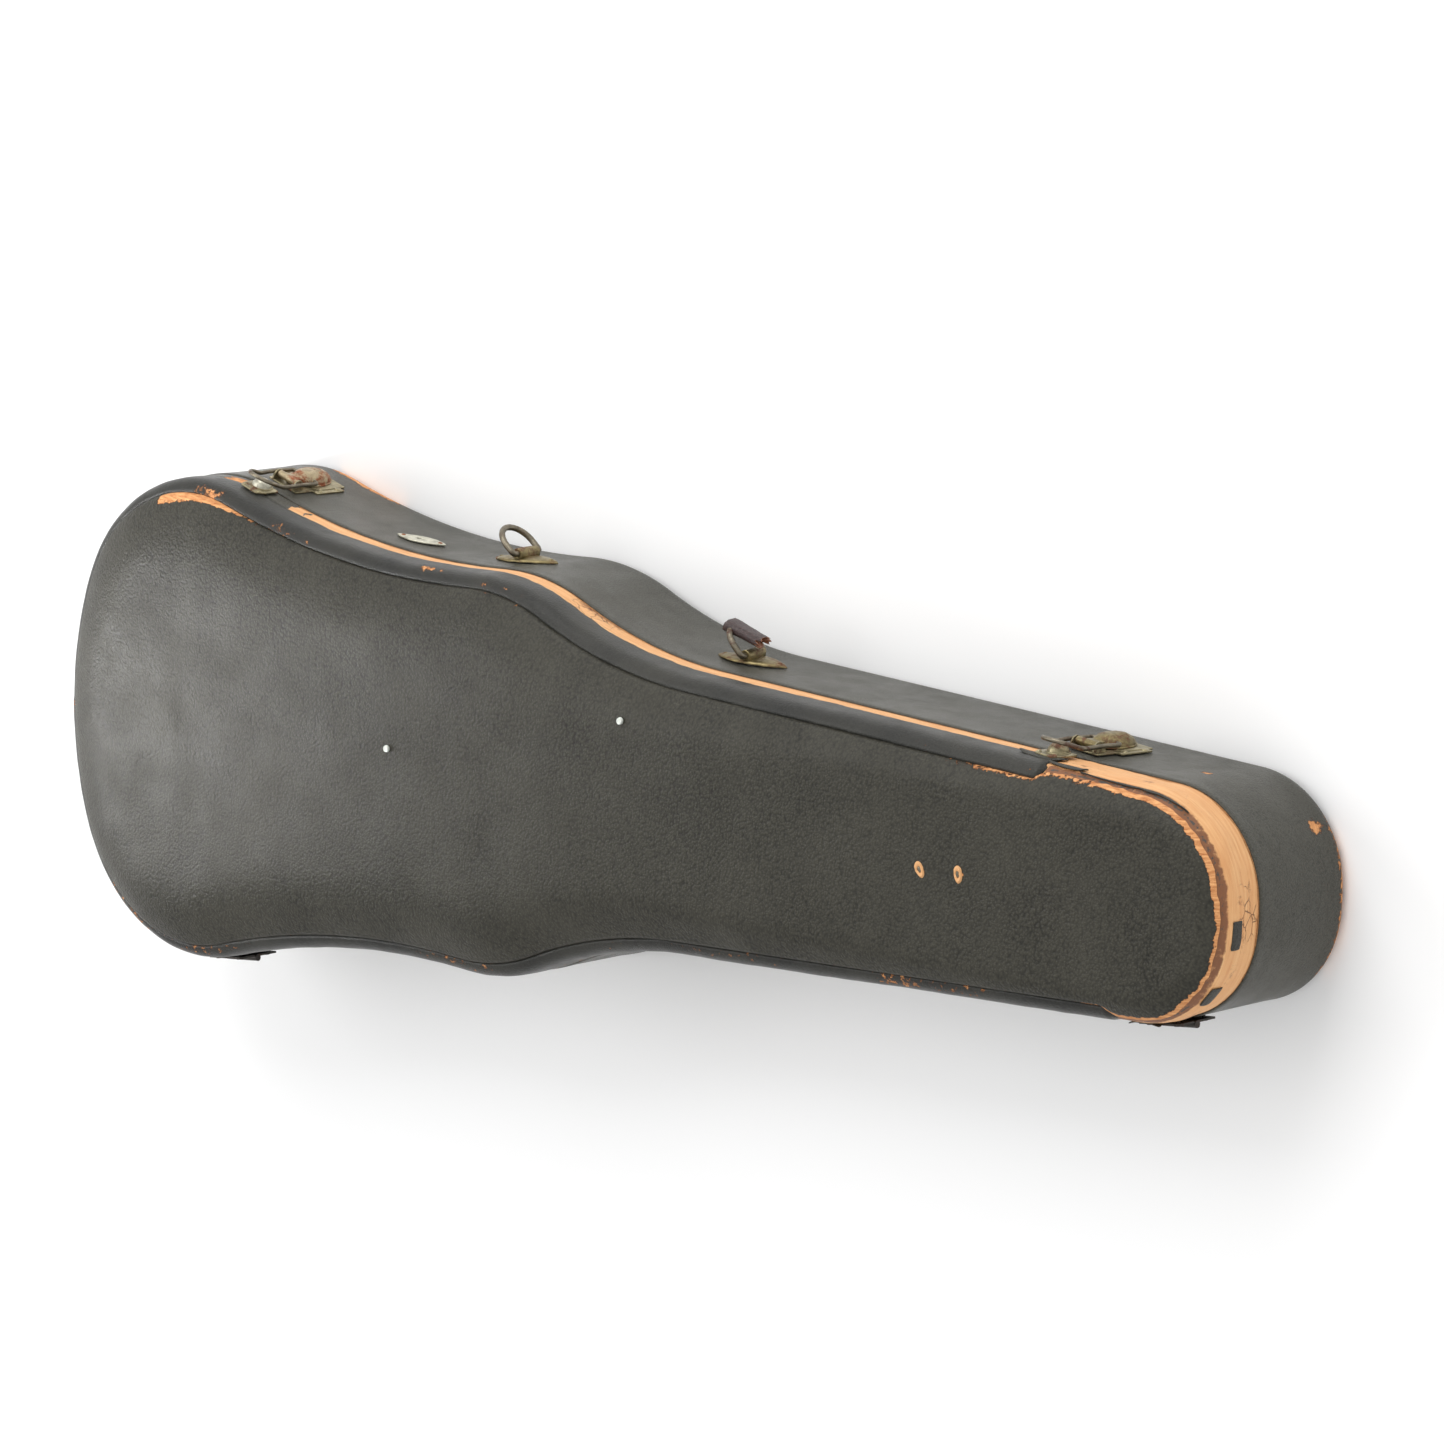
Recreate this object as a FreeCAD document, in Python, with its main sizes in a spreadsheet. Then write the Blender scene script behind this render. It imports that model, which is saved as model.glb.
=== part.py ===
"""Violin case, shaped, with an arched lid.

Millimetres. +X runs from the butt end to the nose, +Y points to the handle side, +Z is up.
The case lies on its base: the origin is the middle of its length, on the underside.
"""
import FreeCAD, Part
import Sketcher
import math
import os
from FreeCAD import Vector, Rotation, Placement

doc = FreeCAD.newDocument("violin_case")

# ---------------------------------------------------------------------------------------------
# Driving dimensions
# ---------------------------------------------------------------------------------------------
DIMENSIONS = {
    # outline, seen from above: circle centres and radii of one half
    "case_length": 790.0,
    "butt_radius": 190.0,
    "lower_bout_radius": 92.5,
    "lower_bout_side": 36.0,
    "waist_radius": 500.0,
    "upper_bout_radius": 122.5,
    "upper_bout_along": -85.5,
    "upper_bout_side": -19.5,
    "neck_radius": 268.0,
    "neck_taper": 2.9,
    "nose_corner_radius": 51.5,
    "nose_corner_side": 4.0,
    "nose_radius": 105.0,
    # shell
    "base_height": 66.0,
    "joint_gap": 0.3,
    "cover_thickness": 1.2,
    "wall_thickness": 5.0,
    "floor_thickness": 5.0,
    "lining_thickness": 2.0,
    "bottom_cover_thickness": 1.0,
    "lid_rim_height": 26.0,
    "strip_height": 10.0,
    "bead_height": 15.0,
    "crown_height": 17.0,
    "crown_reach": 48.0,
    "nose_crown_loss": 11.0,
    # fittings
    "latch_butt_along": -268.0,
    "latch_nose_along": 279.0,
    "lock_along": -174.5,
    "lock_level": 45.8,
    "ring_butt_along": -103.5,
    "ring_nose_along": 54.5,
    "ring_level": 40.0,
    "sheet_metal": 1.0,
    "pivot_radius": 1.0,
    "running_clearance": 0.05,
    "ring_wire_radius": 1.6,
    "ring_half_width": 11.0,
    "ring_leg": 6.0,
    "barrel_radius": 2.9,
    "barrel_length": 16.0,
    "hinge_length": 24.0,
    "hinge_leaf_height": 13.0,
    "knuckle_radius": 1.8,
    "hinge_pin_radius": 0.8,
    # inside
    "neck_rest_along": 80.0,
    "neck_rest_width": 112.0,
    "neck_rest_length": 30.0,
    "neck_rest_height": 34.0,
    "neck_notch_radius": 20.0,
    "partition_along": 215.0,
    "partition_thickness": 4.0,
    "partition_width": 102.0,
    "partition_height": 40.0,
    "accessory_board": 3.0,
    "flap_reach": 32.0,
    "flap_width": 60.0,
    "toggle_length": 36.0,
    "toggle_width": 13.0,
    "toggle_thickness": 4.0,
    "rivet_radius": 1.0,
    "tack_radius": 0.8,
    "nail_hole_radius": 1.2,
}

sheet = doc.addObject("Spreadsheet::Sheet", "sheet")
for row, (alias, number) in enumerate(DIMENSIONS.items(), start=1):
    sheet.set("A%d" % row, alias)
    sheet.set("B%d" % row, str(number))
    sheet.setAlias("B%d" % row, alias)
doc.recompute()


def size(alias):
    """The number in the sheet's cell of that name."""
    return float(sheet.get(alias))


# ---------------------------------------------------------------------------------------------
# Outline: one half as tangent circles, from the butt to the nose
# ---------------------------------------------------------------------------------------------
def tangent_circle(first, first_reach, second, second_reach):
    """Centre on the outer side, at the two given distances from two centres."""
    span = second - first
    along = (first_reach ** 2 - second_reach ** 2 + span.Length ** 2) / (2 * span.Length)
    across = math.sqrt(first_reach ** 2 - along ** 2)
    unit = span / span.Length
    return first + unit * along + Vector(-unit.y, unit.x, 0) * across


def outline_circles():
    """(centre, radius) of each circle of the +Y half, in order, and the two ends of the neck line."""
    half = size("case_length") / 2
    butt_r = size("butt_radius")
    lower_r = size("lower_bout_radius")
    upper_r = size("upper_bout_radius")
    neck_r = size("neck_radius")
    corner_r = size("nose_corner_radius")
    nose_r = size("nose_radius")
    butt = Vector(butt_r - half, 0, 0)
    lower_y = size("lower_bout_side")
    lower = Vector(butt.x - math.sqrt((butt_r - lower_r) ** 2 - lower_y ** 2), lower_y, 0)
    upper = Vector(size("upper_bout_along"), size("upper_bout_side"), 0)
    waist_r = size("waist_radius")
    waist = tangent_circle(lower, waist_r + lower_r, upper, waist_r + upper_r)
    nose = Vector(half - nose_r, 0, 0)
    corner_y = size("nose_corner_side")
    corner = Vector(nose.x + math.sqrt((nose_r - corner_r) ** 2 - corner_y ** 2), corner_y, 0)
    taper = math.radians(size("neck_taper"))
    along = Vector(math.cos(taper), -math.sin(taper), 0)
    across = Vector(math.sin(taper), math.cos(taper), 0)
    line_end = corner + across * corner_r
    raised = line_end + across * neck_r
    to_upper = raised - upper
    middle = to_upper.dot(along)
    gap = (neck_r + upper_r) ** 2 - (to_upper.Length ** 2 - middle ** 2)
    back = middle - math.sqrt(gap)
    neck = raised - along * back
    line_start = line_end - along * back
    circles = [(butt, butt_r), (lower, lower_r), (waist, waist_r), (upper, upper_r), (neck, neck_r),
               (corner, corner_r), (nose, nose_r)]
    return circles, line_start, line_end


def circle_joins():
    """Points where the curves of the +Y half meet, in order from the butt to the nose."""
    circles, line_start, line_end = outline_circles()
    (butt, butt_r), (lower, lower_r), (waist, _), (upper, upper_r), _, (corner, _), (nose, nose_r) = circles
    joins = [
        butt + (lower - butt).normalize() * butt_r,
        lower + (waist - lower).normalize() * lower_r,
        upper + (waist - upper).normalize() * upper_r,
        upper + (circles[4][0] - upper).normalize() * upper_r,
        line_start,
        line_end,
        nose + (corner - nose).normalize() * nose_r,
    ]
    return joins


def wall_frame(along, level, tilt=0.0):
    """Frame on the +Y wall: x along the wall, y outwards, z up, turned by tilt about y."""
    circles, line_start, line_end = outline_circles()
    joins = circle_joins()
    if line_start.x <= along <= line_end.x:
        share = (along - line_start.x) / (line_end.x - line_start.x)
        point = line_start + (line_end - line_start) * share
        slope = math.degrees(math.atan2(line_end.y - line_start.y, line_end.x - line_start.x))
    else:
        index = sum(1 for join in joins[:4] if join.x < along)
        centre, radius = circles[index]
        hollow = index in (2, 4)
        rise = math.sqrt(radius ** 2 - (along - centre.x) ** 2)
        point = Vector(along, centre.y + (-rise if hollow else rise), 0)
        lean = math.degrees(math.asin((along - centre.x) / radius))
        slope = lean if hollow else -lean
    turn = Rotation(Vector(0, 0, 1), slope) * Rotation(Vector(0, 1, 0), tilt)
    return Placement(Vector(point.x, point.y, level), turn)


def draw_outline():
    """The closed outline as a constrained sketch on the XY plane."""
    sketch = doc.addObject("Sketcher::SketchObject", "outline")
    circles, line_start, line_end = outline_circles()
    joins = circle_joins()
    flip = Vector(1, -1, 1)

    def mirrored(point):
        return Vector(point.x * flip.x, point.y * flip.y, 0)

    def arc(centre, radius, start, end, hollow):
        """Arc between two points; the sketch keeps arcs anticlockwise."""
        first, last = (end, start) if not hollow else (start, end)
        angle_a = math.atan2(first.y - centre.y, first.x - centre.x)
        angle_b = math.atan2(last.y - centre.y, last.x - centre.x)
        curve = Part.ArcOfCircle(Part.Circle(centre, Vector(0, 0, 1), radius), angle_a, angle_b)
        return sketch.addGeometry(curve, False)

    names = ("butt_radius", "lower_bout_radius", "waist_radius", "upper_bout_radius", "neck_radius",
             "nose_corner_radius", "nose_radius")
    # going round: butt, then the +Y side to the nose, then the -Y side back
    butt, nose = circles[0], circles[6]
    low = [mirrored(join) for join in joins]
    items = [arc(butt[0], butt[1], low[0], joins[0], False)]
    kinds = ["butt"]
    for index in (1, 2, 3, 4):
        items.append(arc(circles[index][0], circles[index][1], joins[index - 1], joins[index],
                         index in (2, 4)))
        kinds.append("hollow" if index in (2, 4) else "round")
    items.append(sketch.addGeometry(Part.LineSegment(line_start, line_end), False))
    kinds.append("line")
    items.append(arc(circles[5][0], circles[5][1], joins[5], joins[6], False))
    kinds.append("round")
    items.append(arc(nose[0], nose[1], joins[6], low[6], False))
    kinds.append("round")
    items.append(arc(mirrored(circles[5][0]), circles[5][1], low[6], low[5], False))
    kinds.append("round")
    items.append(sketch.addGeometry(Part.LineSegment(low[5], low[4]), False))
    kinds.append("line")
    for index in (4, 3, 2, 1):
        items.append(arc(mirrored(circles[index][0]), circles[index][1], low[index], low[index - 1],
                         index in (2, 4)))
        kinds.append("hollow" if index in (2, 4) else "round")

    # curves that go on clockwise start at the arc's end point, hollow ones at its start point
    for position, item in enumerate(items):
        follower = (position + 1) % len(items)
        leaving = 1 if kinds[position] in ("round", "butt") else 2
        arriving = 2 if kinds[follower] in ("round", "butt") else 1
        sketch.addConstraint(Sketcher.Constraint("Tangent", item, leaving, items[follower], arriving))

    def drive(constraint, cell):
        index = sketch.addConstraint(constraint)
        sketch.setExpression("Constraints[%d]" % index, "sheet." + cell)

    radius_of = {0: 0, 1: 1, 2: 2, 3: 3, 4: 4, 6: 5, 7: 6}
    for position, which in radius_of.items():
        drive(Sketcher.Constraint("Radius", items[position], circles[which][1]), names[which])
    for position, partner in ((8, 6), (10, 4), (11, 3), (12, 2), (13, 1)):
        sketch.addConstraint(Sketcher.Constraint("Equal", items[position], items[partner]))
    for position in (0, 7):
        sketch.addConstraint(Sketcher.Constraint("PointOnObject", items[position], 3, -1))
    half = size("case_length") / 2
    drive(Sketcher.Constraint("DistanceX", -1, 1, items[0], 3, butt[0].x),
          "butt_radius - sheet.case_length / 2")
    drive(Sketcher.Constraint("DistanceX", -1, 1, items[7], 3, nose[0].x),
          "case_length / 2 - sheet.nose_radius")
    drive(Sketcher.Constraint("DistanceY", -1, 1, items[1], 3, circles[1][0].y), "lower_bout_side")
    drive(Sketcher.Constraint("DistanceY", items[13], 3, -1, 1, circles[1][0].y), "lower_bout_side")
    drive(Sketcher.Constraint("DistanceX", items[3], 3, -1, 1, -circles[3][0].x), "upper_bout_along * -1")
    drive(Sketcher.Constraint("DistanceY", items[3], 3, -1, 1, -circles[3][0].y), "upper_bout_side * -1")
    drive(Sketcher.Constraint("DistanceX", items[11], 3, -1, 1, -circles[3][0].x), "upper_bout_along * -1")
    drive(Sketcher.Constraint("DistanceY", -1, 1, items[11], 3, -circles[3][0].y), "upper_bout_side * -1")
    drive(Sketcher.Constraint("DistanceY", -1, 1, items[6], 3, circles[5][0].y), "nose_corner_side")
    drive(Sketcher.Constraint("DistanceY", items[8], 3, -1, 1, circles[5][0].y), "nose_corner_side")
    taper = math.radians(size("neck_taper"))
    upper_line = sketch.addConstraint(Sketcher.Constraint("Angle", -1, 1, items[5], 1, -taper))
    sketch.setExpression("Constraints[%d]" % upper_line, "-sheet.neck_taper * 1 deg")
    return sketch


outline = draw_outline()
doc.recompute()

NODES = []


def node(feature, label, placement=None):
    """Name a finished sub-part and keep it for export."""
    feature.Label = label
    if placement is not None:
        feature.Placement = placement
    NODES.append(feature)
    return feature


def bind(feature, **cells):
    """Bind properties of a feature to expressions over the sheet."""
    for name, expression in cells.items():
        feature.setExpression(name, expression)
    return feature


def cut(base, tool):
    feature = doc.addObject("Part::Cut", "cut")
    feature.Base = base
    feature.Tool = tool
    return feature


def fuse(*shapes):
    feature = doc.addObject("Part::MultiFuse", "fuse")
    feature.Shapes = list(shapes)
    return feature


def common(base, tool):
    feature = doc.addObject("Part::Common", "common")
    feature.Base = base
    feature.Tool = tool
    return feature


def box(low, high):
    """Box between two corners."""
    feature = doc.addObject("Part::Box", "box")
    feature.Length = high[0] - low[0]
    feature.Width = high[1] - low[1]
    feature.Height = high[2] - low[2]
    feature.Placement = Placement(Vector(*low), Rotation())
    return feature


def rod(start, direction, length, radius_cell, extra=0.0):
    """Cylinder from a point along a direction, its radius bound to a cell, plus an allowance."""
    feature = doc.addObject("Part::Cylinder", "rod")
    bind(feature, Radius="%s + %g" % (radius_cell, extra))
    feature.Height = length
    feature.Placement = Placement(Vector(*start), Rotation(Vector(0, 0, 1), Vector(*direction)))
    return feature


def ball(centre, radii):
    """Ellipsoid with its three radii along x, y and z."""
    feature = doc.addObject("Part::Ellipsoid", "ball")
    feature.Radius1 = radii[2]
    feature.Radius2 = radii[0]
    feature.Radius3 = radii[1]
    feature.Angle1 = -90
    feature.Angle2 = 90
    feature.Placement = Placement(Vector(*centre), Rotation())
    return feature


def bent_wire(path, radius, corner=2):
    """Round wire along a path of edges; corner is 2 for rounded bends and 1 for mitred ones."""
    spine = Part.Wire(path)
    start = spine.OrderedVertexes[0].Point
    first = spine.OrderedEdges[0]
    away = first.tangentAt(first.FirstParameter)
    section = Part.Wire(Part.makeCircle(radius, start, away))
    feature = doc.addObject("Part::Feature", "bent_wire")
    feature.Shape = Part.Solid(spine.makePipeShell([section], True, False, corner))
    return feature


def ring_wire(inset, level):
    """The outline moved inwards by an inset expression, at a level expression."""
    if inset == "0":
        feature = doc.addObject("Part::Offset2D", "wire")
        feature.Source = outline
        feature.Value = -0.001
    else:
        feature = doc.addObject("Part::Offset2D", "wire")
        feature.Source = outline
        bind(feature, Value="-(%s)" % inset)
    feature.Fill = False
    feature.setExpression(".Placement.Base.z", level)
    return feature


def prism(inset, level, height):
    """Upright solid over the outline moved inwards; all three sizes are expressions."""
    feature = doc.addObject("Part::Extrusion", "prism")
    feature.Base = ring_wire(inset, level)
    feature.DirMode = "Custom"
    feature.Dir = Vector(0, 0, 1)
    feature.Solid = True
    bind(feature, LengthFwd=height)
    return feature


def round_foot(feature, radius, level):
    """Round the outer edges that lie at one level."""
    doc.recompute()
    rounded = doc.addObject("Part::Fillet", "rounded")
    rounded.Base = feature
    rounded.Edges = [(number, radius, radius) for number, edge in enumerate(feature.Shape.Edges, start=1)
                     if abs(edge.BoundBox.ZMin - level) < 0.01 and abs(edge.BoundBox.ZMax - level) < 0.01]
    return rounded


# Expressions used again and again
COVER = "sheet.cover_thickness"
WALL_IN = "(sheet.cover_thickness + sheet.wall_thickness)"
LINING_IN = "(sheet.cover_thickness + sheet.wall_thickness + sheet.lining_thickness)"
FOOT = "(sheet.bottom_cover_thickness + sheet.cover_thickness)"
FLOOR_TOP = "(sheet.bottom_cover_thickness + sheet.cover_thickness + sheet.floor_thickness)"
LID_FOOT = "(sheet.base_height + sheet.joint_gap)"
RIM = "(sheet.base_height + sheet.lid_rim_height)"

foot_level = size("bottom_cover_thickness") + size("cover_thickness")
floor_top = foot_level + size("floor_thickness")
base_height = size("base_height")
lid_foot = base_height + size("joint_gap")
rim_level = base_height + size("lid_rim_height")
cover = size("cover_thickness")
wall = size("wall_thickness")
lining = size("lining_thickness")
clearance = size("running_clearance")
metal = size("sheet_metal")
BEAD_FOOT = "(sheet.base_height + sheet.strip_height)"
BEAD_ROUNDING = 1.0
SKIN_ROUNDING = 6.0

# ---------------------------------------------------------------------------------------------
# Lock frame and the cuts it needs in the wall
# ---------------------------------------------------------------------------------------------
lock_frame = wall_frame(size("lock_along"), size("lock_level"), 12.0)
bolt_frame = wall_frame(size("lock_along"), size("lock_level"))
strike_frame = wall_frame(size("lock_along"), lid_foot)
bolt_top = base_height - size("lock_level") - 0.5


def placed(feature, placement):
    """Move a feature by a frame, after its own placement."""
    feature.Placement = placement * feature.Placement
    return feature


def keyhole_cut():
    """Slot for the key, through the cover and the wall."""
    return placed(box((-4.0, -2.9, -1.0), (4.0, 3.0, 1.0)), lock_frame)


# ---------------------------------------------------------------------------------------------
# Base shell
# ---------------------------------------------------------------------------------------------
def build_base_shell():
    wall_height = "(sheet.base_height - %s)" % FOOT
    outer = round_foot(prism(COVER, FOOT, wall_height), SKIN_ROUNDING - cover, foot_level)
    ring = cut(outer, prism(WALL_IN, FOOT + " - 1", wall_height + " + 2"))
    mortise = placed(box((-17.1, -7.5, -12.1), (17.1, -2.6, 12.1)), bolt_frame)
    bolt_slot = placed(box((-4.3, -5.2, 11.0), (4.3, -3.2, 30.0)), bolt_frame)
    node(cut(ring, fuse(mortise, bolt_slot, keyhole_cut())), "base_wall")
    node(prism(WALL_IN, FOOT, "sheet.floor_thickness"), "base_floor")

    skin = round_foot(prism("0", "sheet.bottom_cover_thickness",
                            "(sheet.base_height - sheet.bottom_cover_thickness)"), SKIN_ROUNDING,
                      size("bottom_cover_thickness"))
    core = round_foot(prism(COVER, FOOT, wall_height + " + 1"), SKIN_ROUNDING - cover, foot_level)
    window = prism("14", "0", "%s + 1" % FOOT)
    node(cut(skin, fuse(core, window, keyhole_cut())), "base_cover")
    node(prism("7", "0", "sheet.bottom_cover_thickness"), "bottom_cover")
    tray = cut(prism(WALL_IN, FLOOR_TOP, "(sheet.base_height - 2 - %s)" % FLOOR_TOP),
               prism(LINING_IN, FLOOR_TOP + " + sheet.lining_thickness", "sheet.base_height"))
    node(tray, "base_lining")


# ---------------------------------------------------------------------------------------------
# Lid shell
# ---------------------------------------------------------------------------------------------
CROWN_STEPS = (0.0, 0.08, 0.2, 0.38, 0.62, 1.0)


def crown(inset, drop):
    """Solid under an arched surface that starts at the rim and levels out inwards and to the nose."""
    rings = []
    for share in CROWN_STEPS:
        rise = 1 - (1 - share) ** 2
        moved = "%s + (sheet.crown_reach - %s) * %g" % (inset, inset, share)
        if inset == "0" and share == 0.0:
            moved = "0"
        rings.append(ring_wire(moved, "%s + (sheet.crown_height - %s) * %g" % (RIM, drop, rise)))
    arch = doc.addObject("Part::Loft", "arch")
    arch.Sections = rings
    arch.Solid = True
    arch.Ruled = False
    # the arch dies away towards the nose under a sloping plane
    start = size("upper_bout_along")
    length = size("case_length")
    fall = math.degrees(math.atan(size("nose_crown_loss") / (length / 2 - start)))
    above = doc.addObject("Part::Box", "above")
    above.Length = length
    above.Width = length / 2
    above.Height = 60
    roof = rim_level + size("crown_height")
    above.setExpression(".Placement.Base.z", "%s + sheet.crown_height - %s" % (RIM, drop))
    above.Placement = Placement(Vector(start, -length / 4, roof), Rotation(Vector(0, 1, 0), fall))
    return cut(arch, above)


def lid_pins():
    """Places of the bow-holder rivets and of the two nail holes, seen from above."""
    rivets = (Vector(-132.5, 8.8, 0), Vector(28.6, 44.6, 0))
    holes = (Vector(220.7, -0.4, 0), Vector(243.9, 0.8, 0))
    return rivets, holes


def surface_level(shape, point, reach, highest):
    """Highest or lowest level of an upright shape's cut by lines through a point and a ring round it."""
    spots = [point] + [point + Vector(reach * math.cos(turn), reach * math.sin(turn), 0)
                       for turn in (math.radians(45 * step) for step in range(8))]
    levels = []
    for spot in spots:
        low = Vector(spot.x, spot.y, rim_level - 2)
        high = Vector(spot.x, spot.y, rim_level + 60)
        touched = Part.makeLine(low, high).common(shape).BoundBox
        levels.append(touched.ZMax)
    return max(levels) if highest else min(levels)


def build_lid_shell():
    """Panel, covering, bead, wall and lining. Returns the covering and lining for the fittings."""
    rivets, holes = lid_pins()

    def drilled():
        tools = [rod((p.x, p.y, rim_level - 3), (0, 0, 1), 40, "sheet.rivet_radius", clearance)
                 for p in rivets]
        tools += [rod((p.x, p.y, rim_level - 3), (0, 0, 1), 40, "sheet.nail_hole_radius") for p in holes]
        return fuse(*tools)

    outer = crown("0", "0")
    panel_top = crown(COVER, COVER)
    panel_under = crown(WALL_IN, WALL_IN)
    lining_under = crown(LINING_IN, LINING_IN)
    node(cut(cut(outer, panel_top), drilled()), "lid_cover")
    node(cut(cut(panel_top, panel_under), drilled()), "lid_panel")
    side = cut(prism(WALL_IN, LID_FOOT + " + 1.5", "sheet.lid_rim_height - sheet.joint_gap - 1.5"),
               prism(LINING_IN, LID_FOOT, "sheet.lid_rim_height + 1"))
    node(cut(fuse(cut(panel_under, lining_under), side), drilled()), "lid_lining")

    ring = cut(prism(COVER, LID_FOOT, "sheet.lid_rim_height - sheet.joint_gap"),
               prism(WALL_IN, LID_FOOT + " - 1", "sheet.lid_rim_height + 2"))
    strike_seat = placed(box((-12.1, -5.6, 0.0), (12.1, -2.0, 1.1)), strike_frame)
    mortise = placed(box((-4.6, -5.3, 0.0), (4.6, -3.1, 7.0)), strike_frame)
    node(cut(ring, fuse(strike_seat, mortise)), "lid_wall")

    bead_foot = base_height + size("strip_height")
    blank = prism("0", BEAD_FOOT, "sheet.bead_height")
    roll = round_foot(blank, BEAD_ROUNDING, bead_foot + size("bead_height"))
    roll = round_foot(roll, BEAD_ROUNDING, bead_foot)
    node(cut(roll, prism(COVER, BEAD_FOOT + " - 1", "sheet.bead_height + 2")), "lid_bead")
    doc.recompute()
    return outer, lining_under


# ---------------------------------------------------------------------------------------------
# Bow holders in the lid: a spool under the lining, a toggle under the spool, a rivet through all
# ---------------------------------------------------------------------------------------------
SPOOL_HEIGHT = 12.4
PLAY = 0.3
HEAD_THICKNESS = 0.8
FOOT_THICKNESS = 1.5
TOGGLES = (("bow_toggle_butt", 90.0), ("bow_toggle_middle", 60.0))


def build_bow_holders(outer, lining_under):
    rivets, _ = lid_pins()
    blocks = []
    pins = []
    radius = size("rivet_radius")
    for point, (name, turn) in zip(rivets, TOGGLES):
        head_foot = surface_level(outer.Shape, point, 2 * radius, True) + 0.1
        spool_top = surface_level(lining_under.Shape, point, size("toggle_width") / 2, False) - PLAY
        spool_foot = spool_top - SPOOL_HEIGHT
        spool = cut(rod((0, 0, spool_foot), (0, 0, 1), SPOOL_HEIGHT, "sheet.toggle_width / 2"),
                    rod((0, 0, spool_foot - 1), (0, 0, 1), SPOOL_HEIGHT + 2, "sheet.rivet_radius", clearance))
        here = Placement(point, Rotation())
        blocks.append(placed(spool, here))

        toggle_foot = spool_foot - PLAY - size("toggle_thickness")
        round_at = (size("toggle_length") - size("toggle_width")) / 2
        half_wide = size("toggle_width") / 2
        board = box((-round_at, -half_wide, toggle_foot), (round_at, half_wide, spool_foot - PLAY))
        bind(board, Width="sheet.toggle_width", Height="sheet.toggle_thickness")
        ends = [rod((side * round_at, 0, toggle_foot), (0, 0, 1), size("toggle_thickness"),
                    "sheet.toggle_width / 2") for side in (-1, 1)]
        bore = rod((0, 0, toggle_foot - 1), (0, 0, 1), size("toggle_thickness") + 2, "sheet.rivet_radius",
                   clearance)
        node(cut(fuse(board, *ends), bore), name, Placement(point, Rotation(Vector(0, 0, 1), turn)))

        tail = toggle_foot - PLAY - FOOT_THICKNESS
        shank = rod((0, 0, tail), (0, 0, 1), head_foot + HEAD_THICKNESS - tail, "sheet.rivet_radius")
        head = rod((0, 0, head_foot), (0, 0, 1), HEAD_THICKNESS, "sheet.rivet_radius * 1.6")
        foot = rod((0, 0, tail), (0, 0, 1), FOOT_THICKNESS, "sheet.rivet_radius * 2")
        pins.append(placed(fuse(shank, head, foot), here))
    node(fuse(*blocks), "bow_blocks")
    node(fuse(*pins), "bow_rivets")


# ---------------------------------------------------------------------------------------------
# Latches, in a frame on the wall at the joint: x along, y outwards, z up
# ---------------------------------------------------------------------------------------------
SEAT = 0.3
LEVER_OUT = 4.2
LEVER_DOWN = -12.0
LINK_DOWN = -24.0
EAR_INNER, EAR_OUTER, EAR_OUT = 7.3, 8.3, 6.6
LINK_ARM = 9.8
LINK_RISE = 4.0
RIVET_SPOTS = ((-12.5, -24.0), (12.5, -24.0), (-12.5, -36.0), (12.5, -36.0))
CATCH_SPOTS = ((-5.5, 13.5), (5.5, 13.5))
LATCHES = (("butt", "latch_butt_along", 0.0), ("nose", "latch_nose_along", -8.0))


def cross_rod(half_length, down, radius_cell, extra=0.0):
    """Rod along the wall, centred on the latch, at the pivots' distance from the wall."""
    return rod((-half_length, LEVER_OUT, down), (1, 0, 0), 2 * half_length, radius_cell, extra)


def link_wire():
    """Wire loop: two arms up from the lever, drawn together over the button by a half circle."""
    bend = Vector(LINK_ARM, LEVER_OUT, 0.0)
    rising = Vector(0, 0.3, 1.0).normalize()
    shoulder = bend + rising * LINK_RISE
    right = [Vector(4.0, LEVER_OUT, LINK_DOWN), Vector(LINK_ARM, LEVER_OUT, LINK_DOWN), bend, shoulder]
    left = [Vector(-point.x, point.y, point.z) for point in right]
    tip = Vector(0, shoulder.y, shoulder.z) + rising * LINK_ARM
    path = [Part.makeLine(first, last) for first, last in zip(left, left[1:])]
    path.append(Part.Arc(left[-1], tip, shoulder).toShape())
    path += [Part.makeLine(last, first) for first, last in reversed(list(zip(right, right[1:])))]
    return bent_wire(path, size("pivot_radius"), 1)


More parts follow.
